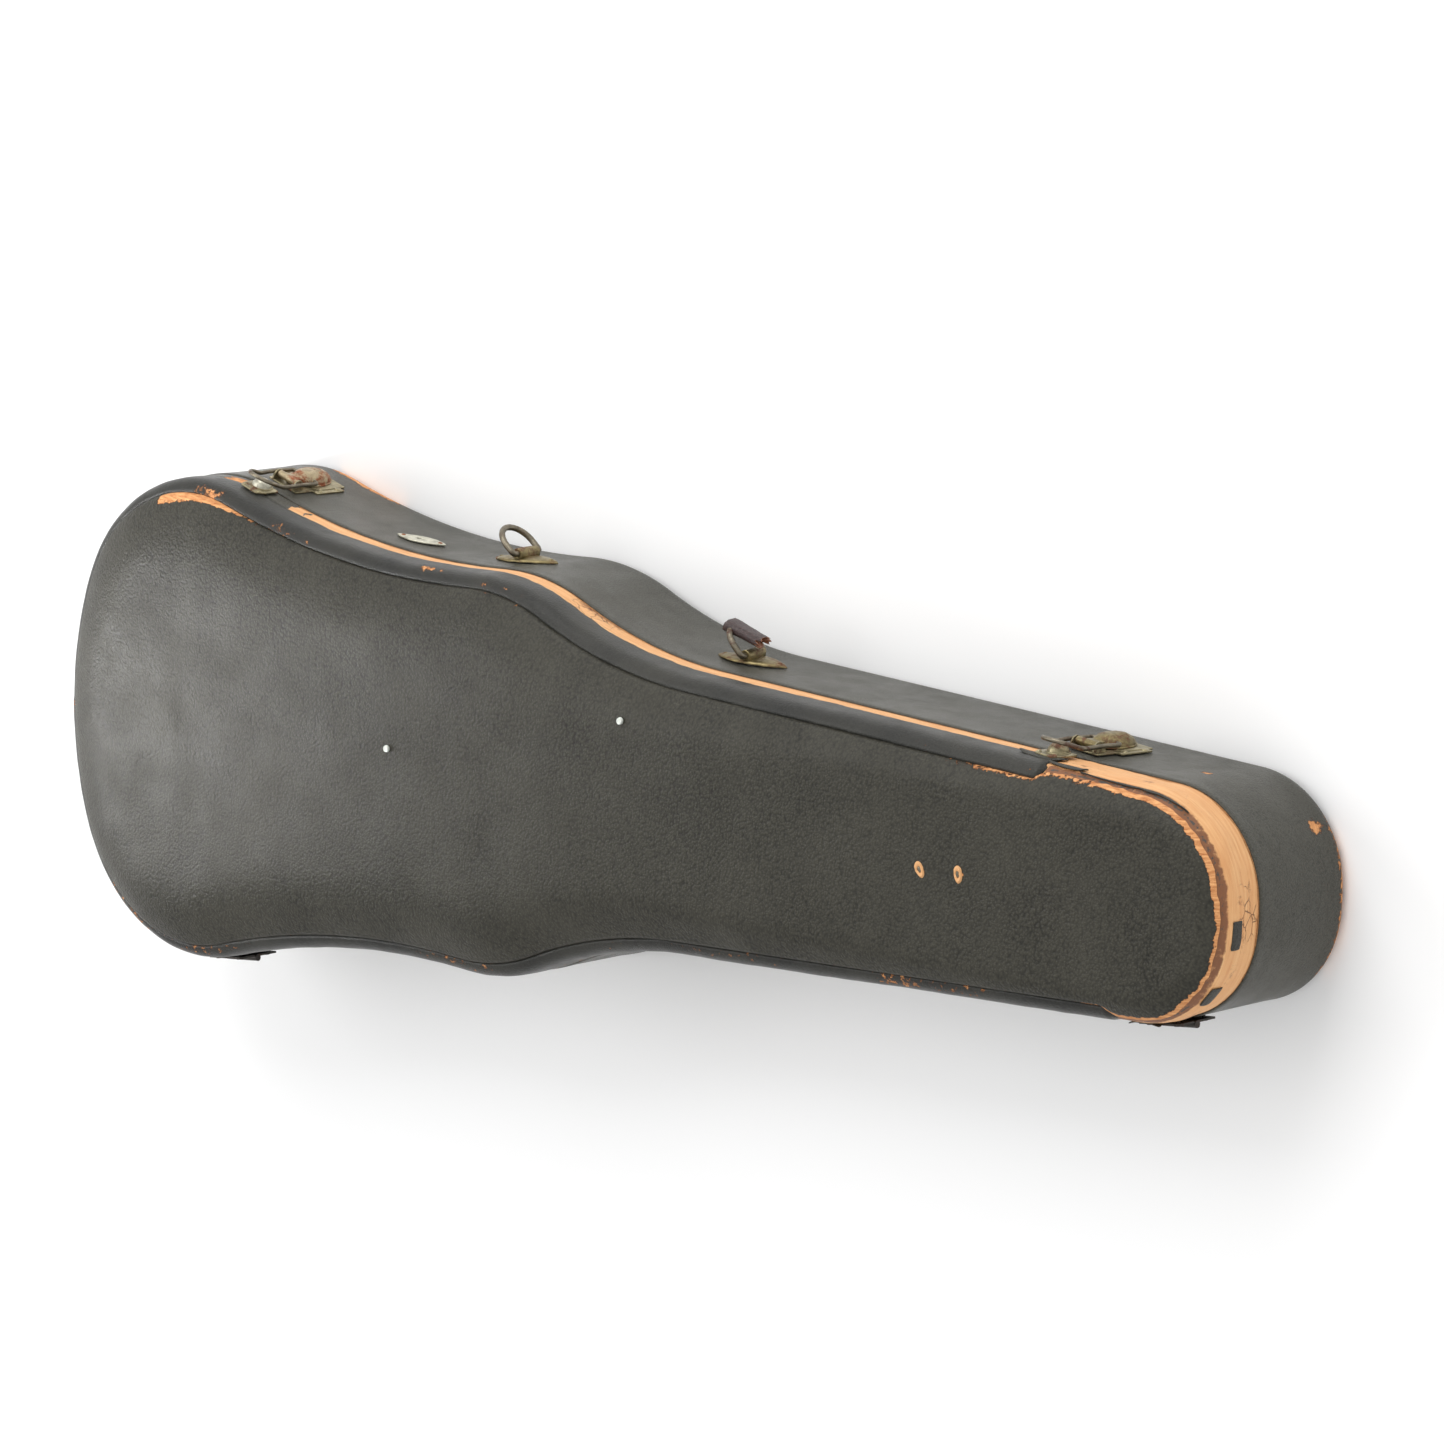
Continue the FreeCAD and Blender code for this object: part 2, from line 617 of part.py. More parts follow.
def build_latch(place, frame):
    """One latch. Returns its pivot pin, base rivets and catch rivets."""
    face = SEAT + metal
    broad = box((-15, SEAT, -40), (15, face, -20))
    narrow = box((-11, SEAT, -44), (11, face, -8))
    for plate in (broad, narrow):
        bind(plate, Width="sheet.sheet_metal")
    ears = [box((EAR_INNER, SEAT, -16), (EAR_OUTER, EAR_OUT, -8)),
            box((-EAR_OUTER, SEAT, -16), (-EAR_INNER, EAR_OUT, -8))]
    pin_bore = cross_rod(12, LEVER_DOWN, "sheet.pivot_radius", clearance)
    node(cut(fuse(broad, narrow, *ears), pin_bore), "latch_plate_" + place, frame)

    dome_back = 2.0
    dome = common(ball((0, dome_back, -27), (8.0, 6.5, 14.0)), box((-10, dome_back, -45), (10, 12, -5)))
    neck = box((-4, 2.2, -22), (4, 5.5, LEVER_DOWN))
    barrel = cross_rod(7, LEVER_DOWN, "2 * sheet.pivot_radius")
    lever_bore = cross_rod(12, LEVER_DOWN, "sheet.pivot_radius", clearance)
    sockets = [rod((low, LEVER_OUT, LINK_DOWN), (1, 0, 0), 9, "sheet.pivot_radius", clearance)
               for low in (-12.5, 3.5)]
    node(cut(fuse(dome, neck, barrel), fuse(lever_bore, *sockets)), "latch_lever_" + place, frame)

    node(link_wire(), "latch_link_" + place, frame)

    strike = box((-8, SEAT, 1.0), (8, face, 16.0))
    bind(strike, Width="sheet.sheet_metal")
    button_foot = face - 0.2
    button = common(ball((0, button_foot, 6.5), (5.5, 4.8, 5.5)), box((-8, button_foot, -2), (8, 12, 15)))
    node(fuse(strike, button), "latch_catch_" + place, frame)

    pin = cross_rod(EAR_OUTER + 0.1, LEVER_DOWN, "sheet.pivot_radius")
    return (placed(pin, frame), [placed(rivet(spot, face), frame) for spot in RIVET_SPOTS],
            [placed(rivet(spot, face), frame) for spot in CATCH_SPOTS])


def rivet(spot, face, depth=3.0):
    """Small domed rivet standing on a plate, its shank in the wall to the given depth."""
    x, z = spot
    shank = rod((x, -depth, z), (0, 1, 0), face + depth, "sheet.tack_radius")
    head = common(ball((x, face, z), (1.7, 0.9, 1.7)), box((x - 2, face, z - 2), (x + 2, face + 2, z + 2)))
    return fuse(shank, head)


def build_latches():
    pins = []
    base_rivets = []
    catch_rivets = []
    for place, along, tilt in LATCHES:
        frame = wall_frame(size(along), base_height, tilt)
        pin, lower, upper = build_latch(place, frame)
        pins.append(pin)
        base_rivets += lower
        catch_rivets += upper
    node(fuse(*pins), "latch_pivot_pins")
    node(fuse(*base_rivets), "latch_rivets")
    node(fuse(*catch_rivets), "latch_catch_rivets")


# ---------------------------------------------------------------------------------------------
# Lock
# ---------------------------------------------------------------------------------------------
PLATE_SEAT = 0.4
LOCK_PLATE = 0.8
LOCK_TACKS = (-11.5, 11.5)


def lens(half_long, half_high, low, high):
    """Pointed oval plate in the xz plane between two y levels."""
    radius = (half_long ** 2 + half_high ** 2) / (2 * half_high)
    lift = radius - half_high
    discs = [rod((0, low, side * lift), (0, 1, 0), high - low, "%g" % radius) for side in (-1, 1)]
    return common(*discs)


def build_lock():
    face = PLATE_SEAT + LOCK_PLATE
    plate = lens(15.5, 6.25, PLATE_SEAT, face)
    slot = fuse(box((-3.6, -1, -0.8), (3.6, 3, 0.8)), rod((-2.2, -1, 0), (0, 1, 0), 4, "1.5"))
    tack_bores = [rod((x, -1, 0), (0, 1, 0), 4, "sheet.tack_radius", clearance) for x in LOCK_TACKS]
    node(cut(plate, fuse(slot, *tack_bores)), "escutcheon", lock_frame)
    tacks = [rivet((x, 0), face, 2.3) for x in LOCK_TACKS]
    node(fuse(*tacks), "escutcheon_pins", lock_frame)

    case = box((-17, -5.7, -12), (17, -2.7, 12))
    channel = box((-4.05, -5.05, -6.0), (4.05, -3.35, 14))
    node(cut(case, channel), "lock_body", bolt_frame)
    bolt_foot = Vector(-4.0, -5.0, -5.9)
    node(box((0, 0, 0), (8.0, 1.6, bolt_top - bolt_foot.z)), "lock_bolt",
         bolt_frame * Placement(bolt_foot, Rotation()))
    strike = cut(box((-12, -5.5, 0.1), (12, -2.1, 1.0)), box((-4.5, -5.2, -1), (4.5, -3.2, 3)))
    node(strike, "lock_strike", strike_frame)


# ---------------------------------------------------------------------------------------------
# Handle plates, rings and what is left of the handle
# ---------------------------------------------------------------------------------------------
RING_LEAN = 45.0
RING_AXIS_OUT = 4.4
HANDLE_PLATES = (("butt", "ring_butt_along", 8.0, 0.5), ("nose", "ring_nose_along", 12.0, 1.0))
STUB_LENGTH, STUB_THICKNESS, STUB_WIDTH, STUB_ROUNDING = 21.0, 6.4, 13.0, 2.8


def ring_path():
    """D shape: a leg through the barrel, two short arms and a half circle."""
    half = size("ring_half_width")
    arms = Vector(0, size("ring_leg"), 0)
    low, high = Vector(0, 0, -half), Vector(0, 0, half)
    crest = Vector(0, size("ring_leg") + half, 0)
    return [Part.makeLine(Vector(), high), Part.makeLine(high, high + arms),
            Part.Arc(high + arms, crest, low + arms).toShape(),
            Part.makeLine(low + arms, low), Part.makeLine(low, Vector())]


def build_handle_mounts():
    tacks = []
    half_barrel = size("barrel_length") / 2
    for place, along, tilt, seat in HANDLE_PLATES:
        frame = wall_frame(size(along), size("ring_level"), tilt)
        face = seat + metal
        plate = lens(20.0, 9.5, seat, face)
        saddle = box((-size("barrel_radius"), seat, -half_barrel),
                     (size("barrel_radius"), RING_AXIS_OUT, half_barrel))
        barrel = rod((0, RING_AXIS_OUT, -half_barrel), (0, 0, 1), 2 * half_barrel, "sheet.barrel_radius")
        bore = rod((0, RING_AXIS_OUT, -20), (0, 0, 1), 40, "sheet.ring_wire_radius", clearance)
        node(cut(fuse(plate, saddle, barrel), bore), "handle_plate_" + place, frame)
        lean = Placement(Vector(0, RING_AXIS_OUT, 0), Rotation(Vector(0, 0, 1), RING_LEAN))
        node(bent_wire(ring_path(), size("ring_wire_radius")), "handle_ring_" + place, frame * lean)
        tacks += [placed(rivet((x, 0), face), frame) for x in (-15.5, 15.5)]
    node(fuse(*tacks), "handle_plate_tacks")

    # torn leather end, still looped round the nose-side ring
    stub = box((0, 0, 0), (STUB_LENGTH, STUB_THICKNESS, STUB_WIDTH))
    doc.recompute()
    soft = doc.addObject("Part::Fillet", "soft")
    soft.Base = stub
    long_edges = [number for number, edge in enumerate(stub.Shape.Edges, start=1)
                  if edge.BoundBox.XLength > STUB_LENGTH - 1]
    soft.Edges = [(number, STUB_ROUNDING, STUB_ROUNDING) for number in long_edges]
    middle = Placement(Vector(0, -STUB_THICKNESS / 2, -STUB_WIDTH / 2), Rotation())
    held = Placement(Vector(-14.5, 17.0, 0), Rotation(Vector(0, 0, 1), -17.0))
    node(soft, "handle_stub", frame * held * middle)


# ---------------------------------------------------------------------------------------------
# Lid hinges on the -Y side: one at the lower bout, one at the nose, on one straight axis
# ---------------------------------------------------------------------------------------------
WALL_GAP = 0.15
LEAF_START = 0.4
KNUCKLE_GAP = 0.2
SCREW_RADIUS = 0.9
SCREW_UP = 9.5
SCREW_ALONG = 8.0


def hinge_line():
    """Angle and outward direction of the line that touches lower bout and nose corner, and both points."""
    circles, _, _ = outline_circles()
    lower = Vector(circles[1][0].x, -circles[1][0].y, 0)
    corner = Vector(circles[5][0].x, -circles[5][0].y, 0)
    span = corner - lower
    angle = math.atan2(span.y, span.x) + math.asin((circles[1][1] - circles[5][1]) / span.Length)
    outward = Vector(math.sin(angle), -math.cos(angle), 0)
    touches = (("butt", lower + outward * circles[1][1]), ("nose", corner + outward * circles[5][1]))
    return angle, outward, touches


def axis_out():
    """Distance of the hinge axis from the wall."""
    return size("knuckle_radius") + WALL_GAP


def build_leaf(side):
    """One leaf with its knuckles: side is -1 for the base and 1 for the lid."""
    half = size("hinge_length") / 2
    knuckle = size("hinge_length") / 3
    front = size("knuckle_radius") - metal
    back = size("knuckle_radius")
    notch = size("knuckle_radius") + 0.4
    low, high = sorted((side * LEAF_START, side * size("hinge_leaf_height")))
    plate = box((-half, front, low), (half, back, high))
    bind(plate, Length="sheet.hinge_length")
    if side < 0:
        own, trim = (-half, knuckle / 2), 0.0
        others = (-knuckle / 2,)
    else:
        own, trim = (-knuckle / 2,), KNUCKLE_GAP / 2
        others = (-half, knuckle / 2)
    low, high = sorted((-side, side * notch))
    rooms = [box((start - KNUCKLE_GAP, front - 2, low), (start + knuckle + KNUCKLE_GAP, back + 0.1, high))
             for start in others]
    room = fuse(*rooms) if len(rooms) > 1 else rooms[0]
    solids = [cut(plate, room)]
    low, high = sorted((0.0, side * notch))
    length = knuckle - 2 * trim
    for start in own:
        solids.append(rod((start + trim, 0, 0), (1, 0, 0), length, "sheet.knuckle_radius"))
        solids.append(box((start + trim, front, low), (start + trim + length, back, high)))
    bore = rod((-half - 1, 0, 0), (1, 0, 0), 2 * half + 2, "sheet.hinge_pin_radius", clearance)
    return cut(fuse(*solids), bore)


def build_hinges():
    """Frame of each hinge: x along the axis towards the nose, y inwards to the case, z up."""
    angle, outward, touches = hinge_line()
    half = size("hinge_length") / 2
    front = size("knuckle_radius") - metal
    pins = []
    screws = {"base": [], "lid": []}
    for place, touch in touches:
        centre = touch + outward * axis_out() + Vector(0, 0, base_height + size("joint_gap") / 2)
        frame = Placement(centre, Rotation(Vector(0, 0, 1), math.degrees(angle)))
        for side, name in ((-1, "base"), (1, "lid")):
            node(build_leaf(side), "hinge_leaf_%s_%s" % (name, place), frame)
            for x in (-SCREW_ALONG, SCREW_ALONG):
                level = side * SCREW_UP
                shank = rod((x, front - 0.2, level), (0, 1, 0), metal + 4.0, "%g" % SCREW_RADIUS)
                head = rod((x, front - 0.6, level), (0, 1, 0), 0.6, "%g" % (2 * SCREW_RADIUS))
                screws[name].append(placed(fuse(shank, head), frame))
        pins.append(placed(rod((-half, 0, 0), (1, 0, 0), 2 * half, "sheet.hinge_pin_radius"), frame))
    node(fuse(*pins), "hinge_pins")
    node(fuse(*screws["base"]), "hinge_screws_base")
    node(fuse(*screws["lid"]), "hinge_screws_lid")


# ---------------------------------------------------------------------------------------------
# Inside the base: neck rest and accessory box
# ---------------------------------------------------------------------------------------------
PIN_OUT = 3.0
PIN_UP = 4.5
LID_ROLL = 2.6
BOARD_START = 4.2
BOARD_END = 372.0
FLAP_GAP = 0.6
TAB_LENGTH = 11.0
TAB_WIDTH = 12.0
TAB_THICKNESS = 1.5
TAB_HOLD = 7.0
CHEEK_STARTS = (-36.0, 31.0)
CHEEK_WIDTH = 5.0
LEDGE_SPAN = (318.0, 336.0)
LEDGE_REACH = (38.0, 44.0)
LEDGE_HEIGHT = 7.0


def build_fittings():
    seat = floor_top + lining
    along = size("neck_rest_along")
    half = size("neck_rest_width") / 2
    rest_top = seat + size("neck_rest_height")
    block = box((along, -half, seat), (along + size("neck_rest_length"), half, rest_top))
    bind(block, Length="sheet.neck_rest_length", Width="sheet.neck_rest_width",
         Height="sheet.neck_rest_height")
    notch = rod((along - 1, 0, rest_top), (1, 0, 0), size("neck_rest_length") + 2, "sheet.neck_notch_radius")
    node(cut(block, notch), "neck_rest")

    wall_x = size("partition_along")
    face = wall_x + size("partition_thickness")
    half = size("partition_width") / 2
    top = seat + size("partition_height")
    board = box((wall_x, -half, seat), (face, half, top))
    bind(board, Length="sheet.partition_thickness", Width="sheet.partition_width",
         Height="sheet.partition_height")
    node(board, "accessory_partition")

    axis_x = face + PIN_OUT
    axis_z = top + PIN_UP
    cheeks = []
    for low in CHEEK_STARTS:
        cheek = box((face, low, top - 4), (axis_x + 2.5, low + CHEEK_WIDTH, axis_z + 2.3))
        bore = rod((axis_x, low - 1, axis_z), (0, 1, 0), CHEEK_WIDTH + 2, "sheet.pivot_radius", PLAY)
        cheeks.append(cut(cheek, bore))
    node(fuse(*cheeks), "accessory_brackets")
    pin_half = -CHEEK_STARTS[0]
    node(rod((axis_x, -pin_half, axis_z), (0, 1, 0), 2 * pin_half, "sheet.pivot_radius", PLAY - clearance),
         "accessory_lid_pin")

    board_foot = axis_z - size("accessory_board") / 2
    board_top = board_foot + size("accessory_board")
    flap_half = size("flap_width") / 2
    flap_end = axis_x + size("flap_reach")
    plan = prism(LINING_IN + " + 1", "%g" % board_foot, "sheet.accessory_board")
    slab = common(plan, box((axis_x + BOARD_START, -80, 0), (BOARD_END, 80, 100)))
    room = box((axis_x, -flap_half - FLAP_GAP, board_foot - 1),
               (flap_end + FLAP_GAP, flap_half + FLAP_GAP, board_top + 1))
    node(cut(slab, room), "accessory_top")

    leaf = box((axis_x, -flap_half, board_foot), (flap_end, flap_half, board_top))
    bind(leaf, Length="sheet.flap_reach", Width="sheet.flap_width", Height="sheet.accessory_board")
    roll = rod((axis_x, -flap_half, axis_z), (0, 1, 0), 2 * flap_half, "%g" % LID_ROLL)
    bore = rod((axis_x, -40, axis_z), (0, 1, 0), 80, "sheet.pivot_radius", PLAY)
    node(cut(fuse(leaf, roll), bore), "accessory_lid")
    node(box((0, 0, 0), (TAB_LENGTH, TAB_WIDTH, TAB_THICKNESS)), "accessory_tab",
         Placement(Vector(flap_end - TAB_HOLD, -TAB_WIDTH / 2, board_top + 0.1), Rotation()))
    ledges = []
    for side in (-1, 1):
        low, high = sorted(side * reach for reach in LEDGE_REACH)
        ledges.append(box((LEDGE_SPAN[0], low, board_foot - LEDGE_HEIGHT),
                          (LEDGE_SPAN[1], high, board_foot - PLAY)))
    node(fuse(*ledges), "accessory_ledges")


build_base_shell()
outer_arch, lining_arch = build_lid_shell()
build_bow_holders(outer_arch, lining_arch)
build_latches()
build_lock()
build_handle_mounts()
build_hinges()
build_fittings()
doc.recompute()

# ---------------------------------------------------------------------------------------------
# Check and write
# ---------------------------------------------------------------------------------------------
failed = [thing.Name for thing in doc.Objects if {"Invalid", "Error"} & set(thing.State)]
if failed:
    raise RuntimeError("failed objects: " + ", ".join(failed))
bad = [part.Label for part in NODES
       if part.Shape.isNull() or not part.Shape.isValid() or part.Shape.Volume <= 0]
if bad:
    raise RuntimeError("bad shapes: " + ", ".join(bad))
os.makedirs("parts", exist_ok=True)
for part in NODES:
    part.Shape.exportStep("parts/%s.step" % part.Label)
    bounds = part.Shape.BoundBox
    print("%-26s solids %d  x %.1f..%.1f  y %.1f..%.1f  z %.1f..%.1f  volume %.0f" % (
        part.Label, len(part.Shape.Solids), bounds.XMin, bounds.XMax, bounds.YMin, bounds.YMax,
        bounds.ZMin, bounds.ZMax, part.Shape.Volume))
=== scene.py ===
"""Looks of the violin case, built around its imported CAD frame. Lengths below are in millimetres."""
import math
from contextlib import contextmanager

import bmesh
import bpy
import numpy as np
from mathutils import Matrix, Vector


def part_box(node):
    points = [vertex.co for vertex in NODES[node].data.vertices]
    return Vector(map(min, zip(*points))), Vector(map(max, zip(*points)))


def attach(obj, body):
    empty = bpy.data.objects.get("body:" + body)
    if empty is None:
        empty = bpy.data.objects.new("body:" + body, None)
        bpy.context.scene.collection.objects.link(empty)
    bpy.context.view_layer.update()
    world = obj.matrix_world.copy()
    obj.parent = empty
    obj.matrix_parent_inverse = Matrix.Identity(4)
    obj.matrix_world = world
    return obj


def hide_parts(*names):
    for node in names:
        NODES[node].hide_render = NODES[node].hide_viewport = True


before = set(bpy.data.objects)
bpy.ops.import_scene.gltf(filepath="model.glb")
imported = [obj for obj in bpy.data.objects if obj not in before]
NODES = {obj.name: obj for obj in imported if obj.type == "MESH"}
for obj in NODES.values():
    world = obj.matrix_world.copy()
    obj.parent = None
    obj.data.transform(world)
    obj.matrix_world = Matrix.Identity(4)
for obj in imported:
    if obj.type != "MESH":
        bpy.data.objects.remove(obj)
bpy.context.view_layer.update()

MM = 0.001


def node_mm(name):
    """Lowest and highest corner of a CAD node, in millimetres."""
    low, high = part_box(name)
    return np.array(low) / MM, np.array(high) / MM


# Levels and sizes read from the frame
LOW, HIGH = node_mm("lid_cover")
HALF = (HIGH[0] - LOW[0]) / 2
RIM = LOW[2]
CROWN = HIGH[2] - LOW[2]
JOINT = node_mm("base_wall")[1][2]
FLOOR_TOP = node_mm("base_floor")[1][2]
CROWN_REACH = 48.0
NOSE_CROWN_LOSS = 11.0
CROWN_START = -85.5
LINING_IN = 8.2
NAIL_HOLES = ((220.7, -0.4), (243.9, 0.8))
BOW_RIVETS = ((-132.5, 8.8), (28.6, 44.6))
LATCH_BUTT, LATCH_NOSE = -268.0, 279.0
MOUNT_BUTT, MOUNT_NOSE = -103.5, 54.5
LOCK_ALONG, LOCK_LEVEL, MOUNT_LEVEL = -174.5, 45.8, 40.0
EDGE = math.radians(38)


# Outline: the same tangent circles as the CAD model
def half_outline():
    """Curves of the +Y half from the butt to the nose: (centre, radius, start, end, hollow) or a line."""
    butt_r, lower_r, waist_r, upper_r, neck_r, corner_r, nose_r = 190.0, 92.5, 500.0, 122.5, 268.0, 51.5, 105.0
    lower_y, corner_y, taper = 36.0, 4.0, math.radians(2.9)
    butt = complex(butt_r - HALF, 0)
    lower = complex(butt.real - math.sqrt((butt_r - lower_r) ** 2 - lower_y ** 2), lower_y)
    upper = complex(CROWN_START, -19.5)
    nose = complex(HALF - nose_r, 0)
    corner = complex(nose.real + math.sqrt((nose_r - corner_r) ** 2 - corner_y ** 2), corner_y)

    span = upper - lower
    first, second = waist_r + lower_r, waist_r + upper_r
    along = (first ** 2 - second ** 2 + abs(span) ** 2) / (2 * abs(span))
    waist = lower + span / abs(span) * complex(along, math.sqrt(first ** 2 - along ** 2))

    ahead = complex(math.cos(taper), -math.sin(taper))
    across = ahead * 1j
    line_end = corner + across * corner_r
    raised = line_end + across * neck_r
    offset = raised - upper
    middle = (offset * ahead.conjugate()).real
    back = middle - math.sqrt((neck_r + upper_r) ** 2 - (abs(offset) ** 2 - middle ** 2))
    neck = raised - ahead * back
    line_start = line_end - ahead * back

    def toward(here, there, reach):
        return here + (there - here) / abs(there - here) * reach

    joins = [complex(-HALF, 0), toward(butt, lower, butt_r), toward(lower, waist, lower_r),
             toward(upper, waist, upper_r), toward(upper, neck, upper_r), line_start, line_end,
             toward(nose, corner, nose_r), complex(HALF, 0)]
    return [(butt, butt_r, joins[0], joins[1], 1), (lower, lower_r, joins[1], joins[2], 1),
            (waist, waist_r, joins[2], joins[3], -1), (upper, upper_r, joins[3], joins[4], 1),
            (neck, neck_r, joins[4], joins[5], -1), (None, 0, joins[5], joins[6], 0),
            (corner, corner_r, joins[6], joins[7], 1), (nose, nose_r, joins[7], joins[8], 1)]


HALF_CURVES = half_outline()


def outline(step):
    """Points, outward normals and arc length round the whole outline, about one step apart."""
    points, normals = [], []
    for centre, radius, start, end, side in HALF_CURVES:
        if side == 0:
            count = max(2, round(abs(end - start) / step))
            share = np.arange(count) / count
            points.append(start + (end - start) * share)
            normals.append(np.full(count, (end - start) / abs(end - start) * 1j))
            continue
        turn = np.angle((end - centre) / (start - centre))
        count = max(2, round(abs(turn) * radius / step))
        spokes = (start - centre) / radius * np.exp(1j * turn * np.arange(count) / count)
        points.append(centre + radius * spokes)
        normals.append(spokes * side)
    near = np.concatenate(points)
    near_n = np.concatenate(normals)
    far = np.concatenate([[complex(HALF, 0)], near[:0:-1].conjugate()])
    far_n = np.concatenate([[1 + 0j], near_n[:0:-1].conjugate()])
    place = np.concatenate([near, far])
    normal = np.concatenate([near_n, far_n])
    length = np.concatenate([[0], np.cumsum(np.abs(np.diff(place)))])
    return place, normal, length


def wall_frame(along, level, tilt=0.0):
    """Frame on the +Y wall, as in the CAD model: x along the wall, y outwards, z up."""
    for centre, radius, start, end, side in HALF_CURVES:
        if start.real <= along <= end.real and side == 0:
            place = start + (end - start) * (along - start.real) / (end - start).real
            slope = np.angle(end - start)
            break
        if side and min(start.real, end.real) <= along <= max(start.real, end.real) and start.imag * end.imag > 0:
            rise = math.sqrt(radius ** 2 - (along - centre.real) ** 2)
            place = complex(along, centre.imag + side * rise)
            slope = -side * math.asin((along - centre.real) / radius)
            if place.imag > 0 and abs(slope) < 1.2:
                break
    turn = Matrix.Rotation(slope, 4, "Z") @ Matrix.Rotation(math.radians(tilt), 4, "Y")
    return Matrix.Translation((place.real, place.imag, level)) @ turn


# Small helpers: repeatable noise and meshes
def value_noise(x, y, size, seed):
    """Smooth noise from -1 to 1 over a plane, with features of about the given size."""
    grid = np.random.default_rng(seed).uniform(-1, 1, (64, 64))
    gx, gy = np.asarray(x) / size, np.asarray(y) / size
    ix, iy = np.floor(gx).astype(int), np.floor(gy).astype(int)
    fx, fy = gx - ix, gy - iy
    fx, fy = fx * fx * (3 - 2 * fx), fy * fy * (3 - 2 * fy)

    def at(a, b):
        return grid[(ix + a) % 64, (iy + b) % 64]

    return ((at(0, 0) * (1 - fx) + at(1, 0) * fx) * (1 - fy) + (at(0, 1) * (1 - fx) + at(1, 1) * fx) * fy)


def ragged(u, size, seed):
    """Broken-edge noise along a line."""
    return 0.6 * value_noise(u, u * 0, size, seed) + 0.4 * value_noise(u, u * 0 + 9.5, size / 3, seed + 1)


def smooth(value, low, high):
    share = np.clip((np.asarray(value, float) - low) / (high - low), 0, 1)
    return share * share * (3 - 2 * share)


def bell(value, centre, width):
    """Bell curve of height 1."""
    return np.exp(-((value - centre) / width) ** 2)


def turns(count):
    """Angles once round a circle."""
    return np.linspace(0, 2 * math.pi, count, endpoint=False)


def grid_faces(rows, columns, round_rows=True, round_columns=False):
    """Quads between the points of a grid, joined up along its rows, its columns or both."""
    return [(i * columns + k, i * columns + m, j * columns + m, j * columns + k)
            for i, j in zip(range(rows - (not round_rows)), list(range(1, rows)) + [0])
            for k, m in zip(range(columns - (not round_columns)), list(range(1, columns)) + [0])]


def settle(name, mesh, material, body, replaces=(), slot=None):
    """Object for a finished mesh, riding on its body."""
    mesh.materials.append(material)
    piece = bpy.data.objects.new(name, mesh)
    bpy.context.collection.objects.link(piece)
    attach(piece, body)
    if replaces:
        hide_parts(*replaces)
    return piece


def make(name, vertices, faces, material, body, uv=None, fields=None, **options):
    """Mesh piece from vertices in millimetres."""
    mesh = bpy.data.meshes.new(name)
    mesh.from_pydata([tuple(v) for v in np.asarray(vertices) * MM], [], faces)
    mesh.update()
    if uv is not None:
        layer = mesh.uv_layers.new(name="uv")
        loops = np.empty(len(mesh.loops), int)
        mesh.loops.foreach_get("vertex_index", loops)
        layer.data.foreach_set("uv", (np.asarray(uv)[loops] * MM).ravel())
    for field, values in (fields or {}).items():
        layer = mesh.attributes.new(field, "FLOAT", "POINT")
        layer.data.foreach_set("value", np.asarray(values, float).ravel())
    mesh.shade_smooth()
    return settle(name, mesh, material, body, **options)


@contextmanager
def editing(mesh):
    """The mesh as a bmesh, written back at the end."""
    work = bmesh.new()
    work.from_mesh(mesh)
    yield work
    work.to_mesh(mesh)
    work.free()


def recalculate(piece):
    """Turn all faces outwards."""
    with editing(piece.data) as work:
        bmesh.ops.recalc_face_normals(work, faces=work.faces)
    return piece


def apply_modifiers(piece):
    graph = bpy.context.evaluated_depsgraph_get()
    mesh = bpy.data.meshes.new_from_object(piece.evaluated_get(graph))
    piece.modifiers.clear()
    old = piece.data
    piece.data = mesh
    bpy.data.meshes.remove(old)
    return piece


def subdivided(piece):
    piece.modifiers.new("subdivision", "SUBSURF").levels = 1
    return apply_modifiers(piece)


# Bands swept round the outline, and sheets over it
BAND_STEP = 2.0
PLACE, NORMAL, LENGTH = outline(BAND_STEP)


def band(name, profile, material, body, shift, fields, **options):
    """Sweep a profile of (inset, level) round the outline."""
    profile = np.asarray(profile, float)
    inset, level = (np.tile(profile[:, k], (len(PLACE), 1)) for k in (0, 1))
    run = np.concatenate([[0], np.cumsum(np.hypot(*np.diff(profile, axis=0).T))])
    u, x0, y0 = (np.tile(column[:, None], (1, len(profile))) for column in (LENGTH, PLACE.real, PLACE.imag))
    v = np.tile(run, (len(PLACE), 1))
    inset, level = shift(inset, level, u, x0, y0)
    spot = PLACE[:, None] - NORMAL[:, None] * inset
    vertices = np.stack([spot.real, spot.imag, level], axis=-1).reshape(-1, 3)
    return recalculate(make(name, vertices, grid_faces(*level.shape), material, body,
                            uv=np.stack([u.ravel(), v.ravel()], axis=1),
                            fields=fields(spot.real, spot.imag, level, u), **options))


def length_at(x, side):
    """Arc length where the outline passes x on the +Y (side 1) or -Y (side -1) side."""
    chosen = np.where(PLACE.imag * side >= 0)[0]
    return float(LENGTH[chosen[np.argmin(np.abs(PLACE.real[chosen] - x))]])


def arch_level(inset, x, drop=0.0):
    """Level of the lid's arched surface: rises from the rim, levels out, dies away to the nose."""
    share = np.clip(inset / CROWN_REACH, 0, 1)
    arch = (CROWN - drop) * (1 - (1 - share) ** 2)
    roof = (CROWN - drop) - NOSE_CROWN_LOSS * np.clip(x - CROWN_START, 0, None) / (HALF - CROWN_START)
    softness = 1.6
    gap = np.clip(0.5 + 0.5 * (roof - arch) / softness, 0, 1)
    return RIM + roof * (1 - gap) + arch * gap - softness * gap * (1 - gap)


